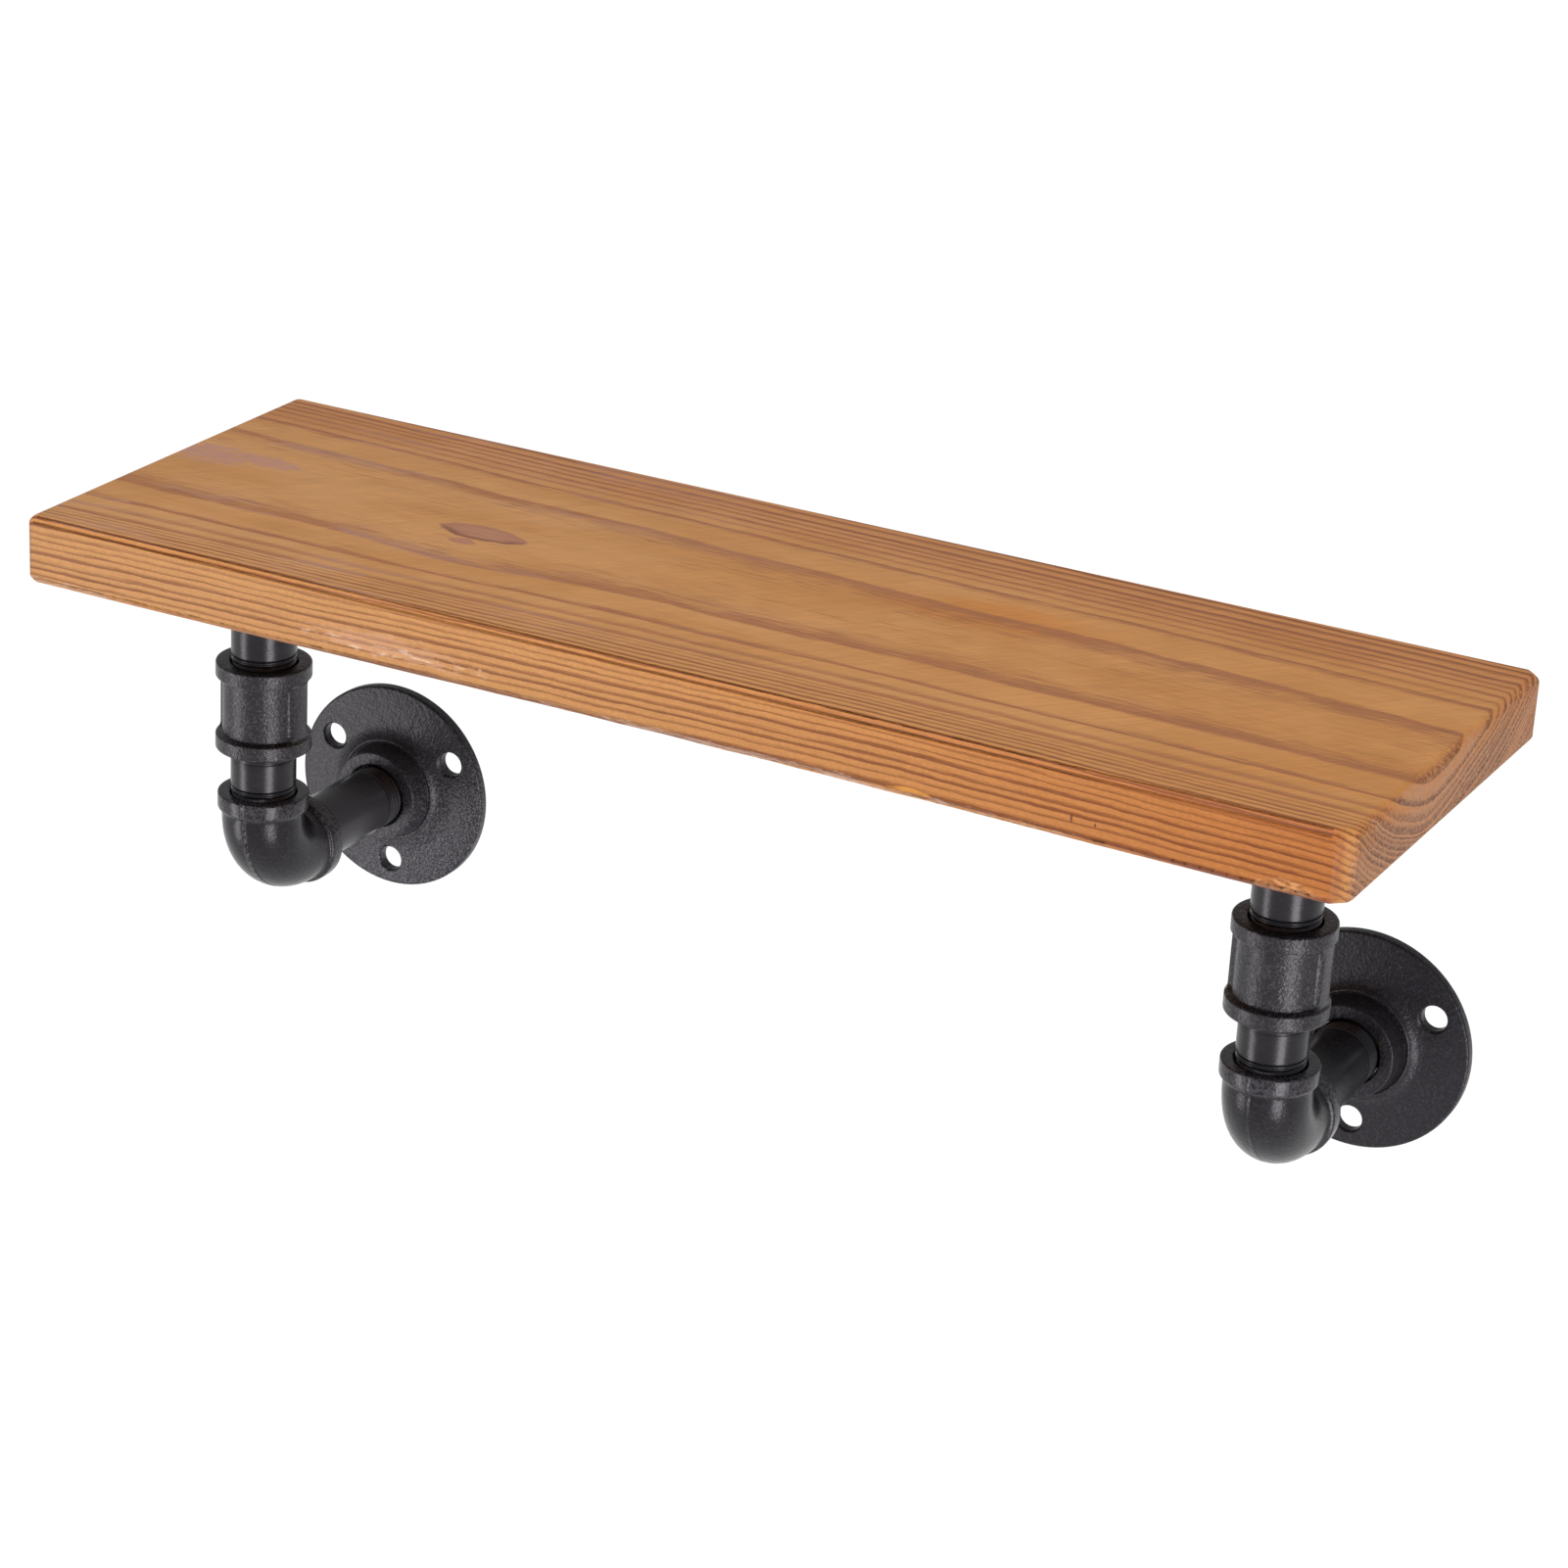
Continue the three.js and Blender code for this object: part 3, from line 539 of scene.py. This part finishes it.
# Among these marks, the bare streaks and the worn edge are partly painted glare, and the chip's dark side is
# painted shade.
marks = [(knot, 0.8, knot_colour), (knot_rim, 0.85, (0.165, 0.058, 0.030, 1)),
         (patch, 0.85, (0.362, 0.180, 0.145, 1)), (rub, 0.30, (0.60, 0.31, 0.19, 1)),
         (bare_and_glare, 0.5, (0.76, 0.54, 0.40, 1)), (worn_edge_and_glare, 0.42, (0.76, 0.52, 0.40, 1)),
         (amber, 0.85, (0.60, 0.25, 0.045, 1)), (amber_painted_shade, 0.7, (0.25, 0.085, 0.02, 1)),
         (splinter, 0.7, splinter_colour), (tick, 0.8, (0.09, 0.03, 0.015, 1))]
for mark, strength, colour in marks:
    wood_colour = blend_colours(tree, scaled(tree, mark, strength), wood_colour, colour)

# Sheen and relief: the late wood stands a little proud and shines more, and the pores and chips are sunk.
sheen = figure(tree, "MULTIPLY_ADD", late_wood, -0.07, 0.46)
sheen = figure(tree, "MULTIPLY_ADD", fibre, 0.14, sheen)
sheen = figure(tree, "MULTIPLY_ADD", end_share, 0.12, sheen)
sheen = figure(tree, "MULTIPLY_ADD", rub, -0.12, sheen)
relief = figure(tree, "MULTIPLY_ADD", late_wood, 0.5, scaled(tree, fibre, 0.35))
relief = figure(tree, "MULTIPLY_ADD", dashes, -0.8, relief)
relief = figure(tree, "MULTIPLY_ADD", scaled(tree, end_pores, end_share), 1.4, relief)
relief = figure(tree, "MULTIPLY_ADD", figure(tree, "MAXIMUM", amber, tick), -2.4, relief)
torn_fibres = scaled(tree, splinter, streaks(tree, place, (0.5, 1.4, 1.4), 3.0))
relief = figure(tree, "MULTIPLY_ADD", torn_fibres, 3.0, relief)
lay_skin(tree, wood_colour, sheen, relief, 0.55, 0.00016, {"IOR": 1.45, "Specular IOR Level": 0.3})

finish_piece("pine_board", plank, Matrix(), "shelf_board", oiled_pine)


# The floor flanges: four cast plates with a raised shoulder, a threaded hub and three countersunk
# screw holes. The casting is grainy and has a dry black powder coat. Two stand on the wall and two
# are screwed upside down to the underside of the board.
flange_profile = [(0.01053, 0.0), (0.036, 0.0), (0.036, 0.0038), (0.0240, 0.0041), (0.0207, 0.0046),
                  (0.0187, 0.0057), (0.0176, 0.0071), (0.0166, 0.0063), (0.01537, 0.014), (0.01130, 0.014),
                  (0.01087, 0.0135)]
flange_rounds = {1: 0.0004, 2: 0.0009, 3: 0.0012, 4: 0.0012, 5: 0.0008, 6: 0.0007, 7: 0.0004, 8: 0.0005,
                 9: 0.0002}
flange_sides = 112
flange_hole_profile = [(0.0, -0.002), (0.0042, -0.002), (0.0042, 0.0034), (0.0074, 0.0066), (0.0, 0.0066)]
flange_hole_round = {2: 0.0004}
flange_hole_sides = 40
flange_hole_circle = 0.02699
flange_hole_turns = (-90, 30, 150)
flange_coat = (0.0068, 0.0060, 0.0078, 1)
flange_specks = (0.026, 0.024, 0.029, 1)
# A grey for dust on the left wall flange, which also paints in the light on its lower right.
flange_dust_and_highlight = (0.105, 0.098, 0.111, 1)
rubbed_brown = (0.040, 0.030, 0.024, 1)
black_tint = (0.98, 0.92, 1.0, 1)


# Draws a line of (radius, height) points and eases its corners that have a round, each by its own
# radius. It gives the new mesh work and the line's edges.
def drawn(points, rounds):
    work = bmesh.new()
    corners = [work.verts.new((reach, 0, height)) for reach, height in points]
    edges = [work.edges.new(pair) for pair in zip(corners, corners[1:])]
    for index, size in rounds.items():
        bmesh.ops.bevel(work, geom=[corners[index]], offset=size, segments=4, profile=0.5,
                        affect="VERTICES", material=-1)
    return work, edges


# Turns a drawn line once round the Z axis.
def turned(work, sides):
    bmesh.ops.spin(work, geom=work.verts[:] + work.edges[:], cent=Vector(), axis=Vector((0, 0, 1)),
                   angle=math.tau, steps=sides, use_merge=True, use_duplicate=False)
    bmesh.ops.remove_doubles(work, verts=work.verts[:], dist=0.000002)
    bmesh.ops.recalc_face_normals(work, faces=work.faces[:])
    return work


# Cuts one mesh out of another and gives the rest back as mesh work.
def cut_away(work, cutter):
    holders = []
    for name, part in (("blank", work), ("cutter", cutter)):
        mesh = bpy.data.meshes.new(name)
        part.to_mesh(mesh)
        part.free()
        holder = bpy.data.objects.new(name, mesh)
        bpy.context.scene.collection.objects.link(holder)
        holders.append(holder)
    cut = holders[0].modifiers.new("cut", "BOOLEAN")
    cut.operation = "DIFFERENCE"
    cut.solver = "EXACT"
    cut.object = holders[1]
    bpy.context.view_layer.update()
    left = bpy.data.meshes.new_from_object(holders[0].evaluated_get(bpy.context.evaluated_depsgraph_get()))
    rest = bmesh.new()
    rest.from_mesh(left)
    for holder in holders:
        mesh = holder.data
        bpy.data.objects.remove(holder)
        bpy.data.meshes.remove(mesh)
    bpy.data.meshes.remove(left)
    return rest


def flange_blank():
    work = turned(drawn(flange_profile + flange_profile[:1], flange_rounds)[0], flange_sides)
    for angle in flange_hole_turns:
        hole = turned(drawn(flange_hole_profile, flange_hole_round)[0], flange_hole_sides)
        turn = math.radians(angle)
        bmesh.ops.translate(hole, vec=Vector((math.cos(turn), math.sin(turn), 0)) * flange_hole_circle,
                            verts=hole.verts)
        work = cut_away(work, hole)
    bmesh.ops.dissolve_degenerate(work, dist=0.000001, edges=work.edges[:])
    bmesh.ops.holes_fill(work, edges=[edge for edge in work.edges if edge.is_boundary], sides=0)
    return work


# Grain of a sand casting under powder coat, shared by the flanges, the elbows and the couplings. It
# puts out a height in millimetres, a share that is high on the grains, and one for worn brown places.
# The finest grains are about 0.4 mm across and catch the light as specks.
cast_grain = bpy.data.node_groups.new("cast_grain", "ShaderNodeTree")
cast_grain.interface.new_socket("Place", in_out="INPUT", socket_type="NodeSocketVector")
cast_grain.interface.new_socket("Lump Height", in_out="INPUT", socket_type="NodeSocketFloat")
for name in ("Height", "Grains", "Rubbed"):
    cast_grain.interface.new_socket(name, in_out="OUTPUT", socket_type="NodeSocketFloat")
tree = cast_grain
inside = add_node(tree, "NodeGroupInput").outputs
place = inside["Place"]
grains = streaks(tree, place, (0.95, 0.95, 0.95), 2.0, 0.55)
fine_grains = streaks(tree, place, (2.3, 2.3, 2.3), 1.0, 0.5)
dots = add_node(tree, "ShaderNodeTexVoronoi", {"Vector": place, "Scale": 0.85, "Randomness": 1.0})
pits = rise_between(tree, dots.outputs["Distance"], 0.05, 0.5)
lumps = streaks(tree, place, (0.28, 0.28, 0.28), 3.0, 0.55)
height = figure(tree, "MULTIPLY_ADD", pits, -0.05, scaled(tree, grains, 0.22))
height = figure(tree, "MULTIPLY_ADD", fine_grains, 0.05, height)
height = figure(tree, "MULTIPLY_ADD", lumps, scaled(tree, inside["Lump Height"], 0.30), height)
speckle = scaled(tree, figure(tree, "ADD", grains, fine_grains), 0.5)
rubbed = rise_between(tree, streaks(tree, place, (0.09, 0.09, 0.09), 3.0, 0.6), 0.62, 0.74)
add_node(tree, "NodeGroupOutput", {"Height": height, "Rubbed": rubbed,
                                   "Grains": rise_between(tree, speckle, 0.49, 0.64)})


# A black finish on iron: the coat, the specks on its grains and its rubbed brown places.
def black_iron(name, coat, specks, roughness, shine, lump, depth):
    finish, tree, place = new_finish(name)
    grain = add_node(tree, "ShaderNodeGroup", {"Place": place, "Lump Height": lump}, node_tree=cast_grain)
    colour = blend_colours(tree, grain.outputs["Grains"], coat, specks)
    colour = blend_colours(tree, scaled(tree, grain.outputs["Rubbed"], 0.35), colour, rubbed_brown)
    dullness = figure(tree, "MULTIPLY_ADD", grain.outputs["Grains"], -0.08, roughness)
    dullness = figure(tree, "MULTIPLY_ADD", grain.outputs["Rubbed"], 0.06, dullness)
    relief, shader = lay_skin(tree, colour, dullness, grain.outputs["Height"], 1.0, depth,
                              {"IOR": 1.5, "Specular IOR Level": shine, "Specular Tint": black_tint})
    return finish, tree, shader, relief, place


# A grey layer over the coat of a black finish: dust on the elbows, and dust with painted highlight on the
# left wall flange.
def lay_grey_layer(tree, shader, share, dust):
    bare_coat = shader.inputs["Base Color"].links[0].from_socket
    tree.links.new(blend_colours(tree, share, bare_coat, dust), shader.inputs["Base Color"])


# The left wall flange is lighter and grainier on its lower right: grey dust that also paints in the highlight
# the plate catches there.
flange_iron, tree, shader, relief, place = black_iron(
    "flange_powder_coat", flange_coat, flange_specks, roughness=0.38, shine=0.30, lump=1.0, depth=0.0008)
along, across, up = add_node(tree, "ShaderNodeSeparateXYZ", {0: place}).outputs
highlight_slant = figure(tree, "SUBTRACT", along, scaled(tree, up, 0.9))
dust_and_highlight_grains = streaks(tree, place, (1.5, 1.5, 1.5), 2.0, 0.6)
dust_and_highlight_share = scaled(tree, rise_between(tree, highlight_slant, -190, -140), rise_between(tree, along, -60, -110),
                    rise_between(tree, up, 60, 45), rise_between(tree, dust_and_highlight_grains, 0.50, 0.60))
lay_grey_layer(tree, shader, dust_and_highlight_share, flange_dust_and_highlight)
flange_places = {
    "left_wall_flange": Matrix.Rotation(math.pi / 2, 4, "X"),
    "right_wall_flange": Matrix.Rotation(math.pi / 2, 4, "X"),
    "left_board_flange": Matrix.Rotation(math.pi, 4, "X"),
    "right_board_flange": Matrix.Rotation(math.pi, 4, "X"),
}
for node, turn in flange_places.items():
    low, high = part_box(node)
    middle = (low + high) / 2
    if "wall" in node:
        foot = Vector((middle.x, high.y, middle.z))
    else:
        foot = Vector((middle.x, middle.y, high.z))
    finish_piece(node + "_casting", flange_blank(), Matrix.Translation(foot) @ turn, node,
                 flange_iron)


# The nipples: short lengths of drawn half-inch pipe with a taper thread cut on both ends, and a thin
# satin black coat. The last turns of each thread run out just clear of the fitting that it enters, and
# at the wall flange four turns stay in sight. A lighter grey on the level nipples, most on the left one,
# is partly dust and partly painted sheen.
pipe_radius = 0.01065
pipe_bore = 0.00785
pipe_end_chamfer = 0.0008
thread_pitch = 0.001814
thread_depth = 0.0007
thread_taper = 1 / 32
thread_full = 0.0124
thread_fade = 0.0020
thread_full_at_wall = 0.0166
thread_cuts_a_turn = 8
plain_cuts = 3
pipe_sides = 72
pipe_dark = (0.0048, 0.0044, 0.0056, 1)
pipe_light = (0.0090, 0.0085, 0.0102, 1)
pipe_scuff = (0.045, 0.044, 0.046, 1)
# A grey for dust on the level nipples, which also paints in their lighter sheen.
pipe_dust_and_sheen = (0.036, 0.034, 0.038, 1)


# Cuts a taper thread into the outside of a pipe, from one end and over the given full length.
def cut_thread(work, end, way, full):
    for vert in work.verts:
        reach = math.hypot(vert.co.x, vert.co.y)
        depth_in = (vert.co.z - end) * way
        if reach < pipe_bore * 1.1 or depth_in < 0 or depth_in > full + thread_fade:
            continue
        fade = min(1, (full + thread_fade - depth_in) / thread_fade)
        turn = math.atan2(vert.co.y, vert.co.x) / math.tau * way
        wave = abs(((depth_in / thread_pitch - turn) % 1) * 2 - 1)
        crest = min(pipe_radius, pipe_radius - (full + thread_fade - depth_in) * thread_taper)
        wanted = min(reach, crest) - thread_depth * fade * max(0, 0.9 - wave)
        vert.co.x *= wanted / reach
        vert.co.y *= wanted / reach


def nipple_blank(length, first_full):
    first_out, last_out = first_full + thread_fade, thread_full + thread_fade
    heights = [pipe_end_chamfer, first_out, length - last_out, length - pipe_end_chamfer]
    if length < 1.1 * (first_out + last_out):
        heights = [pipe_end_chamfer, length / 2, length - pipe_end_chamfer]
    line = [(pipe_bore, 0.0), (pipe_radius, 0.0)] + [(pipe_radius, height) for height in heights]
    line += [(pipe_radius, length), (pipe_bore, length), (pipe_bore, 0.0)]
    work, edges = drawn(line, {})
    for edge in edges[2:-3]:
        ends = sorted(vert.co.z for vert in edge.verts)
        threaded = ends[0] < first_out / 2 or ends[1] > length - last_out / 2
        thread_cuts = round((ends[1] - ends[0]) / thread_pitch * thread_cuts_a_turn)
        bmesh.ops.subdivide_edges(work, edges=[edge], cuts=thread_cuts if threaded else plain_cuts)
    turned(work, pipe_sides)
    cut_thread(work, 0.0, 1, first_full)
    cut_thread(work, length, -1, thread_full)
    return work


pipe_coat, tree, place = new_finish("pipe_satin_coat")
specks = streaks(tree, place, (0.9, 0.9, 0.9), 2.0, 0.6)
scuffs = rise_between(tree, streaks(tree, place, (0.35, 0.35, 3.5), 2.0), 0.60, 0.72)
clouds = streaks(tree, place, (0.12, 0.12, 0.12), 2.0)
pipe_colour = blend_colours(tree, rise_between(tree, clouds, 0.35, 0.7), pipe_dark, pipe_light)
pipe_colour = blend_colours(tree, scaled(tree, scuffs, 0.35), pipe_colour, pipe_scuff)
along, across, up = add_node(tree, "ShaderNodeSeparateXYZ", {0: place}).outputs
# Painted sheen with some dust: a lighter grey on the level nipples, most on the left one, none on the
# threads.
level_dust_and_sheen = figure(tree, "MULTIPLY_ADD", rise_between(tree, along, 100, -100), 0.55, 0.25)
level_dust_and_sheen = scaled(tree, level_dust_and_sheen, rise_between(tree, across, -64, -58),
                    rise_between(tree, across, -19, -23))
pipe_colour = blend_colours(tree, level_dust_and_sheen, pipe_colour, pipe_dust_and_sheen)
pipe_sheen = figure(tree, "MULTIPLY_ADD", specks, 0.06, 0.205)
pipe_sheen = figure(tree, "MULTIPLY_ADD", clouds, 0.06, pipe_sheen)
pipe_height = figure(tree, "MULTIPLY_ADD", specks, 0.035, scaled(tree, scuffs, 0.010))
lay_skin(tree, pipe_colour, pipe_sheen, pipe_height, 1.0, 0.001,
         {"IOR": 1.5, "Specular IOR Level": 0.31, "Specular Tint": black_tint})

for side in ("left", "right"):
    for part in ("wall_nipple", "lower_nipple", "upper_nipple"):
        node = f"{side}_{part}"
        low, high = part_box(node)
        middle = (low + high) / 2
        if part == "wall_nipple":
            nipple = nipple_blank(high.y - low.y, thread_full_at_wall)
            put = Matrix.Translation((middle.x, high.y, middle.z)) @ Matrix.Rotation(math.pi / 2, 4, "X")
        else:
            nipple = nipple_blank(high.z - low.z, thread_full)
            put = Matrix.Translation((middle.x, middle.y, low.z))
        finish_piece(node + "_pipe", nipple, put, node, pipe_coat, sharp_angle=50)


# The elbows: a cast iron quarter bend under black powder coat, with a raised collar round each mouth.
# A nipple screws into each mouth. Where the two halves of the mould met, a low rough seam runs down
# the outside of the bend.
socket_depth_radius = 0.01060
socket_lip_radius = 0.01087
socket_mouth_radius = 0.01135
elbow_face = 0.025
elbow_bend = 0.017
elbow_collar = 0.01487
elbow_collar_profile = [(socket_depth_radius, elbow_bend), (socket_lip_radius, elbow_face - 0.0005),
                        (socket_mouth_radius, elbow_face), (elbow_collar, elbow_face),
                        (elbow_collar, 0.0196), (0.01357, 0.0190), (0.01347, elbow_bend)]
elbow_rounds = {2: 0.0003, 3: 0.0006, 4: 0.0007, 5: 0.0006}
elbow_sides = 72
elbow_steps = 18
elbow_coat = (0.0048, 0.0042, 0.0056, 1)
elbow_specks = (0.021, 0.019, 0.023, 1)
elbow_dust = (0.080, 0.075, 0.084, 1)
up_for_back = Matrix(((1, 0, 0, 0), (0, 0, 1, 0), (0, 1, 0, 0), (0, 0, 0, 1)))


def elbow_blank():
    work = turned(drawn(elbow_collar_profile, elbow_rounds)[0], elbow_sides)
    rims = [edge for edge in work.edges if edge.is_boundary]
    bmesh.ops.spin(work, geom=rims, cent=Vector((0, elbow_bend, elbow_bend)), axis=Vector((1, 0, 0)),
                   angle=math.pi / 2, steps=elbow_steps, use_merge=False, use_duplicate=False)
    other = turned(drawn(elbow_collar_profile, elbow_rounds)[0], elbow_sides)
    bmesh.ops.transform(other, matrix=up_for_back, verts=other.verts)
    mesh = bpy.data.meshes.new("other_mouth")
    other.to_mesh(mesh)
    other.free()
    work.from_mesh(mesh)
    bpy.data.meshes.remove(mesh)
    bmesh.ops.remove_doubles(work, verts=work.verts[:], dist=0.00001)
    return work


elbow_iron, tree, shader, relief, place = black_iron(
    "elbow_powder_coat", elbow_coat, elbow_specks, roughness=0.24, shine=0.26, lump=0.6, depth=0.00035)
grain_height = relief.inputs["Height"].links[0].from_socket
along, across, up = add_node(tree, "ShaderNodeSeparateXYZ", {0: place}).outputs
leg_offset = (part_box("right_elbow")[0].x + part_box("right_elbow")[1].x) * 500
left_part = rise_between(tree, along, 100, -100)
seam_wander = figure(tree, "SUBTRACT", streaks(tree, place, (0.25, 0.25, 0.25), 3.0), 0.5)
from_seam = figure(tree, "SUBTRACT", figure(tree, "ABSOLUTE", along), leg_offset)
from_seam = figure(tree, "MULTIPLY_ADD", left_part, 1.6, from_seam)
from_seam = figure(tree, "ABSOLUTE", figure(tree, "MULTIPLY_ADD", seam_wander, 1.2, from_seam))
seam = rise_between(tree, from_seam, 1.1, 0.2)
seam = scaled(tree, seam, figure(tree, "MULTIPLY_ADD", left_part, 0.75, 0.25))
seam_crumbs = streaks(tree, place, (0.7, 0.7, 0.7), 2.0)
seam_height = scaled(tree, seam, figure(tree, "MULTIPLY_ADD", seam_crumbs, 2.4, 0.5))
tree.links.new(figure(tree, "ADD", grain_height, seam_height), relief.inputs["Height"])

# The collars and the left seam hold more grey dust than the bend.
collar = figure(tree, "MAXIMUM", rise_between(tree, up, 18.6, 19.4), rise_between(tree, across, -62.4, -61.6))
collar_grains = rise_between(tree, streaks(tree, place, (1.1, 1.1, 1.1), 2.0), 0.36, 0.62)
collar_dust = scaled(tree, collar, collar_grains, 0.55)
seam_dust = scaled(tree, seam, rise_between(tree, seam_crumbs, 0.46, 0.58), left_part, 0.8)
lay_grey_layer(tree, shader, figure(tree, "MAXIMUM", collar_dust, seam_dust), elbow_dust)

for side in ("left", "right"):
    node = f"{side}_elbow"
    low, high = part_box(node)
    centre = Vector(((low.x + high.x) / 2, high.y - elbow_face, high.z - elbow_face))
    finish_piece(node + "_casting", elbow_blank(), Matrix.Translation(centre), node,
                 elbow_iron)


# The couplings: a cast iron barrel between two bands, under the same black powder coat, with an upright
# rib on each side for a wrench. The barrel is sunk between bands and ribs like a window with rounded
# corners. A nipple screws in from below and another from above.
coupling_band = 0.01557
coupling_barrel = 0.01337
coupling_rib = 0.01477
coupling_band_height = 0.0052
coupling_length = 0.030
coupling_mouth_depth = 0.0006
coupling_rounds = {2: 0.0003, 3: 0.0007, 4: 0.0007, 5: 0.0003}
coupling_cuts = 84
coupling_sides = 144
coupling_rib_half = 0.0038
coupling_window_corner = 0.0022
coupling_window_slope = 0.0006
coupling_band_slope = 0.0010
coupling_coat = (0.0105, 0.0096, 0.0114, 1)
coupling_specks = (0.058, 0.054, 0.059, 1)


# A share kept between 0 and 1, with soft ends.
def soft_share(value):
    share = min(1, max(0, value))
    return share * share * (3 - 2 * share)


def coupling_blank():
    half_line = [(socket_depth_radius, coupling_length / 2), (socket_lip_radius, coupling_mouth_depth),
                 (socket_mouth_radius, 0.0), (coupling_band, 0.0)]
    other_half = [(reach, coupling_length - height) for reach, height in reversed(half_line)]
    work = drawn(half_line + other_half, coupling_rounds)[0]
    tall = max(work.edges, key=lambda edge: edge.calc_length() if edge.verts[0].co.x > coupling_rib else 0)
    bmesh.ops.subdivide_edges(work, edges=[tall], cuts=coupling_cuts)
    turned(work, coupling_sides)
    half_height = coupling_length / 2 - coupling_band_height
    for vert in work.verts:
        reach = math.hypot(vert.co.x, vert.co.y)
        if reach < coupling_band - 0.00002:
            continue
        turn = abs(math.atan2(vert.co.x, vert.co.y))
        turn = min(turn, math.pi - turn)
        round_way = (math.pi / 2 - turn) * coupling_barrel - coupling_rib_half
        up_way = half_height - abs(vert.co.z - coupling_length / 2)
        corner = coupling_window_corner
        outside = Vector((min(round_way - corner, 0), min(up_way - corner, 0))).length
        inside = min(max(round_way - corner, 0), max(up_way - corner, 0))
        depth_in = corner - outside if outside > 0 else corner + inside
        share = soft_share(depth_in / coupling_window_slope + 0.15)
        past_band = soft_share(up_way / coupling_band_slope + 0.5)
        top = coupling_band + (coupling_rib - coupling_band) * past_band
        wanted = top + (coupling_barrel - top) * share
        vert.co.x *= wanted / reach
        vert.co.y *= wanted / reach
    return work


coupling_iron = black_iron("coupling_powder_coat", coupling_coat, coupling_specks, roughness=0.335,
                           shine=0.31, lump=0.6, depth=0.0009)[0]
for side in ("left", "right"):
    node = f"{side}_coupling"
    low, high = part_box(node)
    foot = Vector(((low.x + high.x) / 2, (low.y + high.y) / 2, low.z))
    finish_piece(node + "_casting", coupling_blank(), Matrix.Translation(foot), node,
                 coupling_iron)


# The wood screws: plain steel, with a countersunk head, a cross recess and a coarse thread. Three hold
# each board flange from below.
screw_length = 0.018
screw_head = 0.0048
screw_shank = 0.0025
screw_core = 0.0017
screw_rim_height = 0.0003
screw_head_height = 0.0026
screw_thread_start = 0.0050
screw_tip_start = 0.0145
screw_thread_cuts = 46
screw_tip_cuts = 14
screw_sides = 28
screw_pitch = 0.0020
screw_slot = Vector((0.0047, 0.0010, 0.0036))
slot_narrowing = 0.35
steel_bright = (0.46, 0.46, 0.47, 1)
steel_dull = (0.30, 0.29, 0.27, 1)


def screw_blank():
    work, edges = drawn([(0.0, 0.0), (screw_head, 0.0), (screw_head, screw_rim_height),
                         (screw_shank, screw_head_height), (screw_shank, screw_thread_start),
                         (screw_shank, screw_tip_start), (0.0, screw_length)], {})
    bmesh.ops.subdivide_edges(work, edges=edges[4:5], cuts=screw_thread_cuts)
    bmesh.ops.subdivide_edges(work, edges=edges[5:6], cuts=screw_tip_cuts)
    turned(work, screw_sides)
    for vert in work.verts:
        reach = math.hypot(vert.co.x, vert.co.y)
        if vert.co.z < screw_thread_start + 0.0002 or reach < 0.00001:
            continue
        turn = math.atan2(vert.co.y, vert.co.x) / math.tau
        wave = abs(((vert.co.z / screw_pitch - turn) % 1) * 2 - 1) ** 2.5
        wanted = reach * (screw_core + (screw_shank - screw_core) * wave) / screw_shank
        vert.co.x *= wanted / reach
        vert.co.y *= wanted / reach
    for turn in (0, math.pi / 2):
        slot = bmesh.new()
        arm = bmesh.ops.create_cube(slot, size=1)["verts"]
        bmesh.ops.scale(slot, vec=screw_slot, verts=arm)
        for vert in arm:
            if vert.co.z > 0:
                vert.co.x *= slot_narrowing
        bmesh.ops.rotate(slot, matrix=Matrix.Rotation(turn, 3, "Z"), verts=arm)
        work = cut_away(work, slot)
    return work


screw_steel, tree, place = new_finish("screw_steel")
tarnish = streaks(tree, place, (0.8, 0.8, 0.8), 3.0, 0.6)
rings_cut = streaks(tree, place, (0.4, 0.4, 9.0), 2.0, 0.5)
steel_colour = blend_colours(tree, rise_between(tree, tarnish, 0.4, 0.7), steel_bright, steel_dull)
steel_sheen = figure(tree, "MULTIPLY_ADD", tarnish, 0.25, 0.22)
lay_skin(tree, steel_colour, steel_sheen, rings_cut, 0.6, 0.00003, {"Metallic": 1.0})

for side in ("left", "right"):
    for number in (1, 2, 3):
        node = f"{side}_board_screw_{number}"
        low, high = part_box(node)
        foot = Vector(((low.x + high.x) / 2, (low.y + high.y) / 2, low.z))
        finish_piece(node + "_steel", screw_blank(), Matrix.Translation(foot), node,
                     screw_steel)
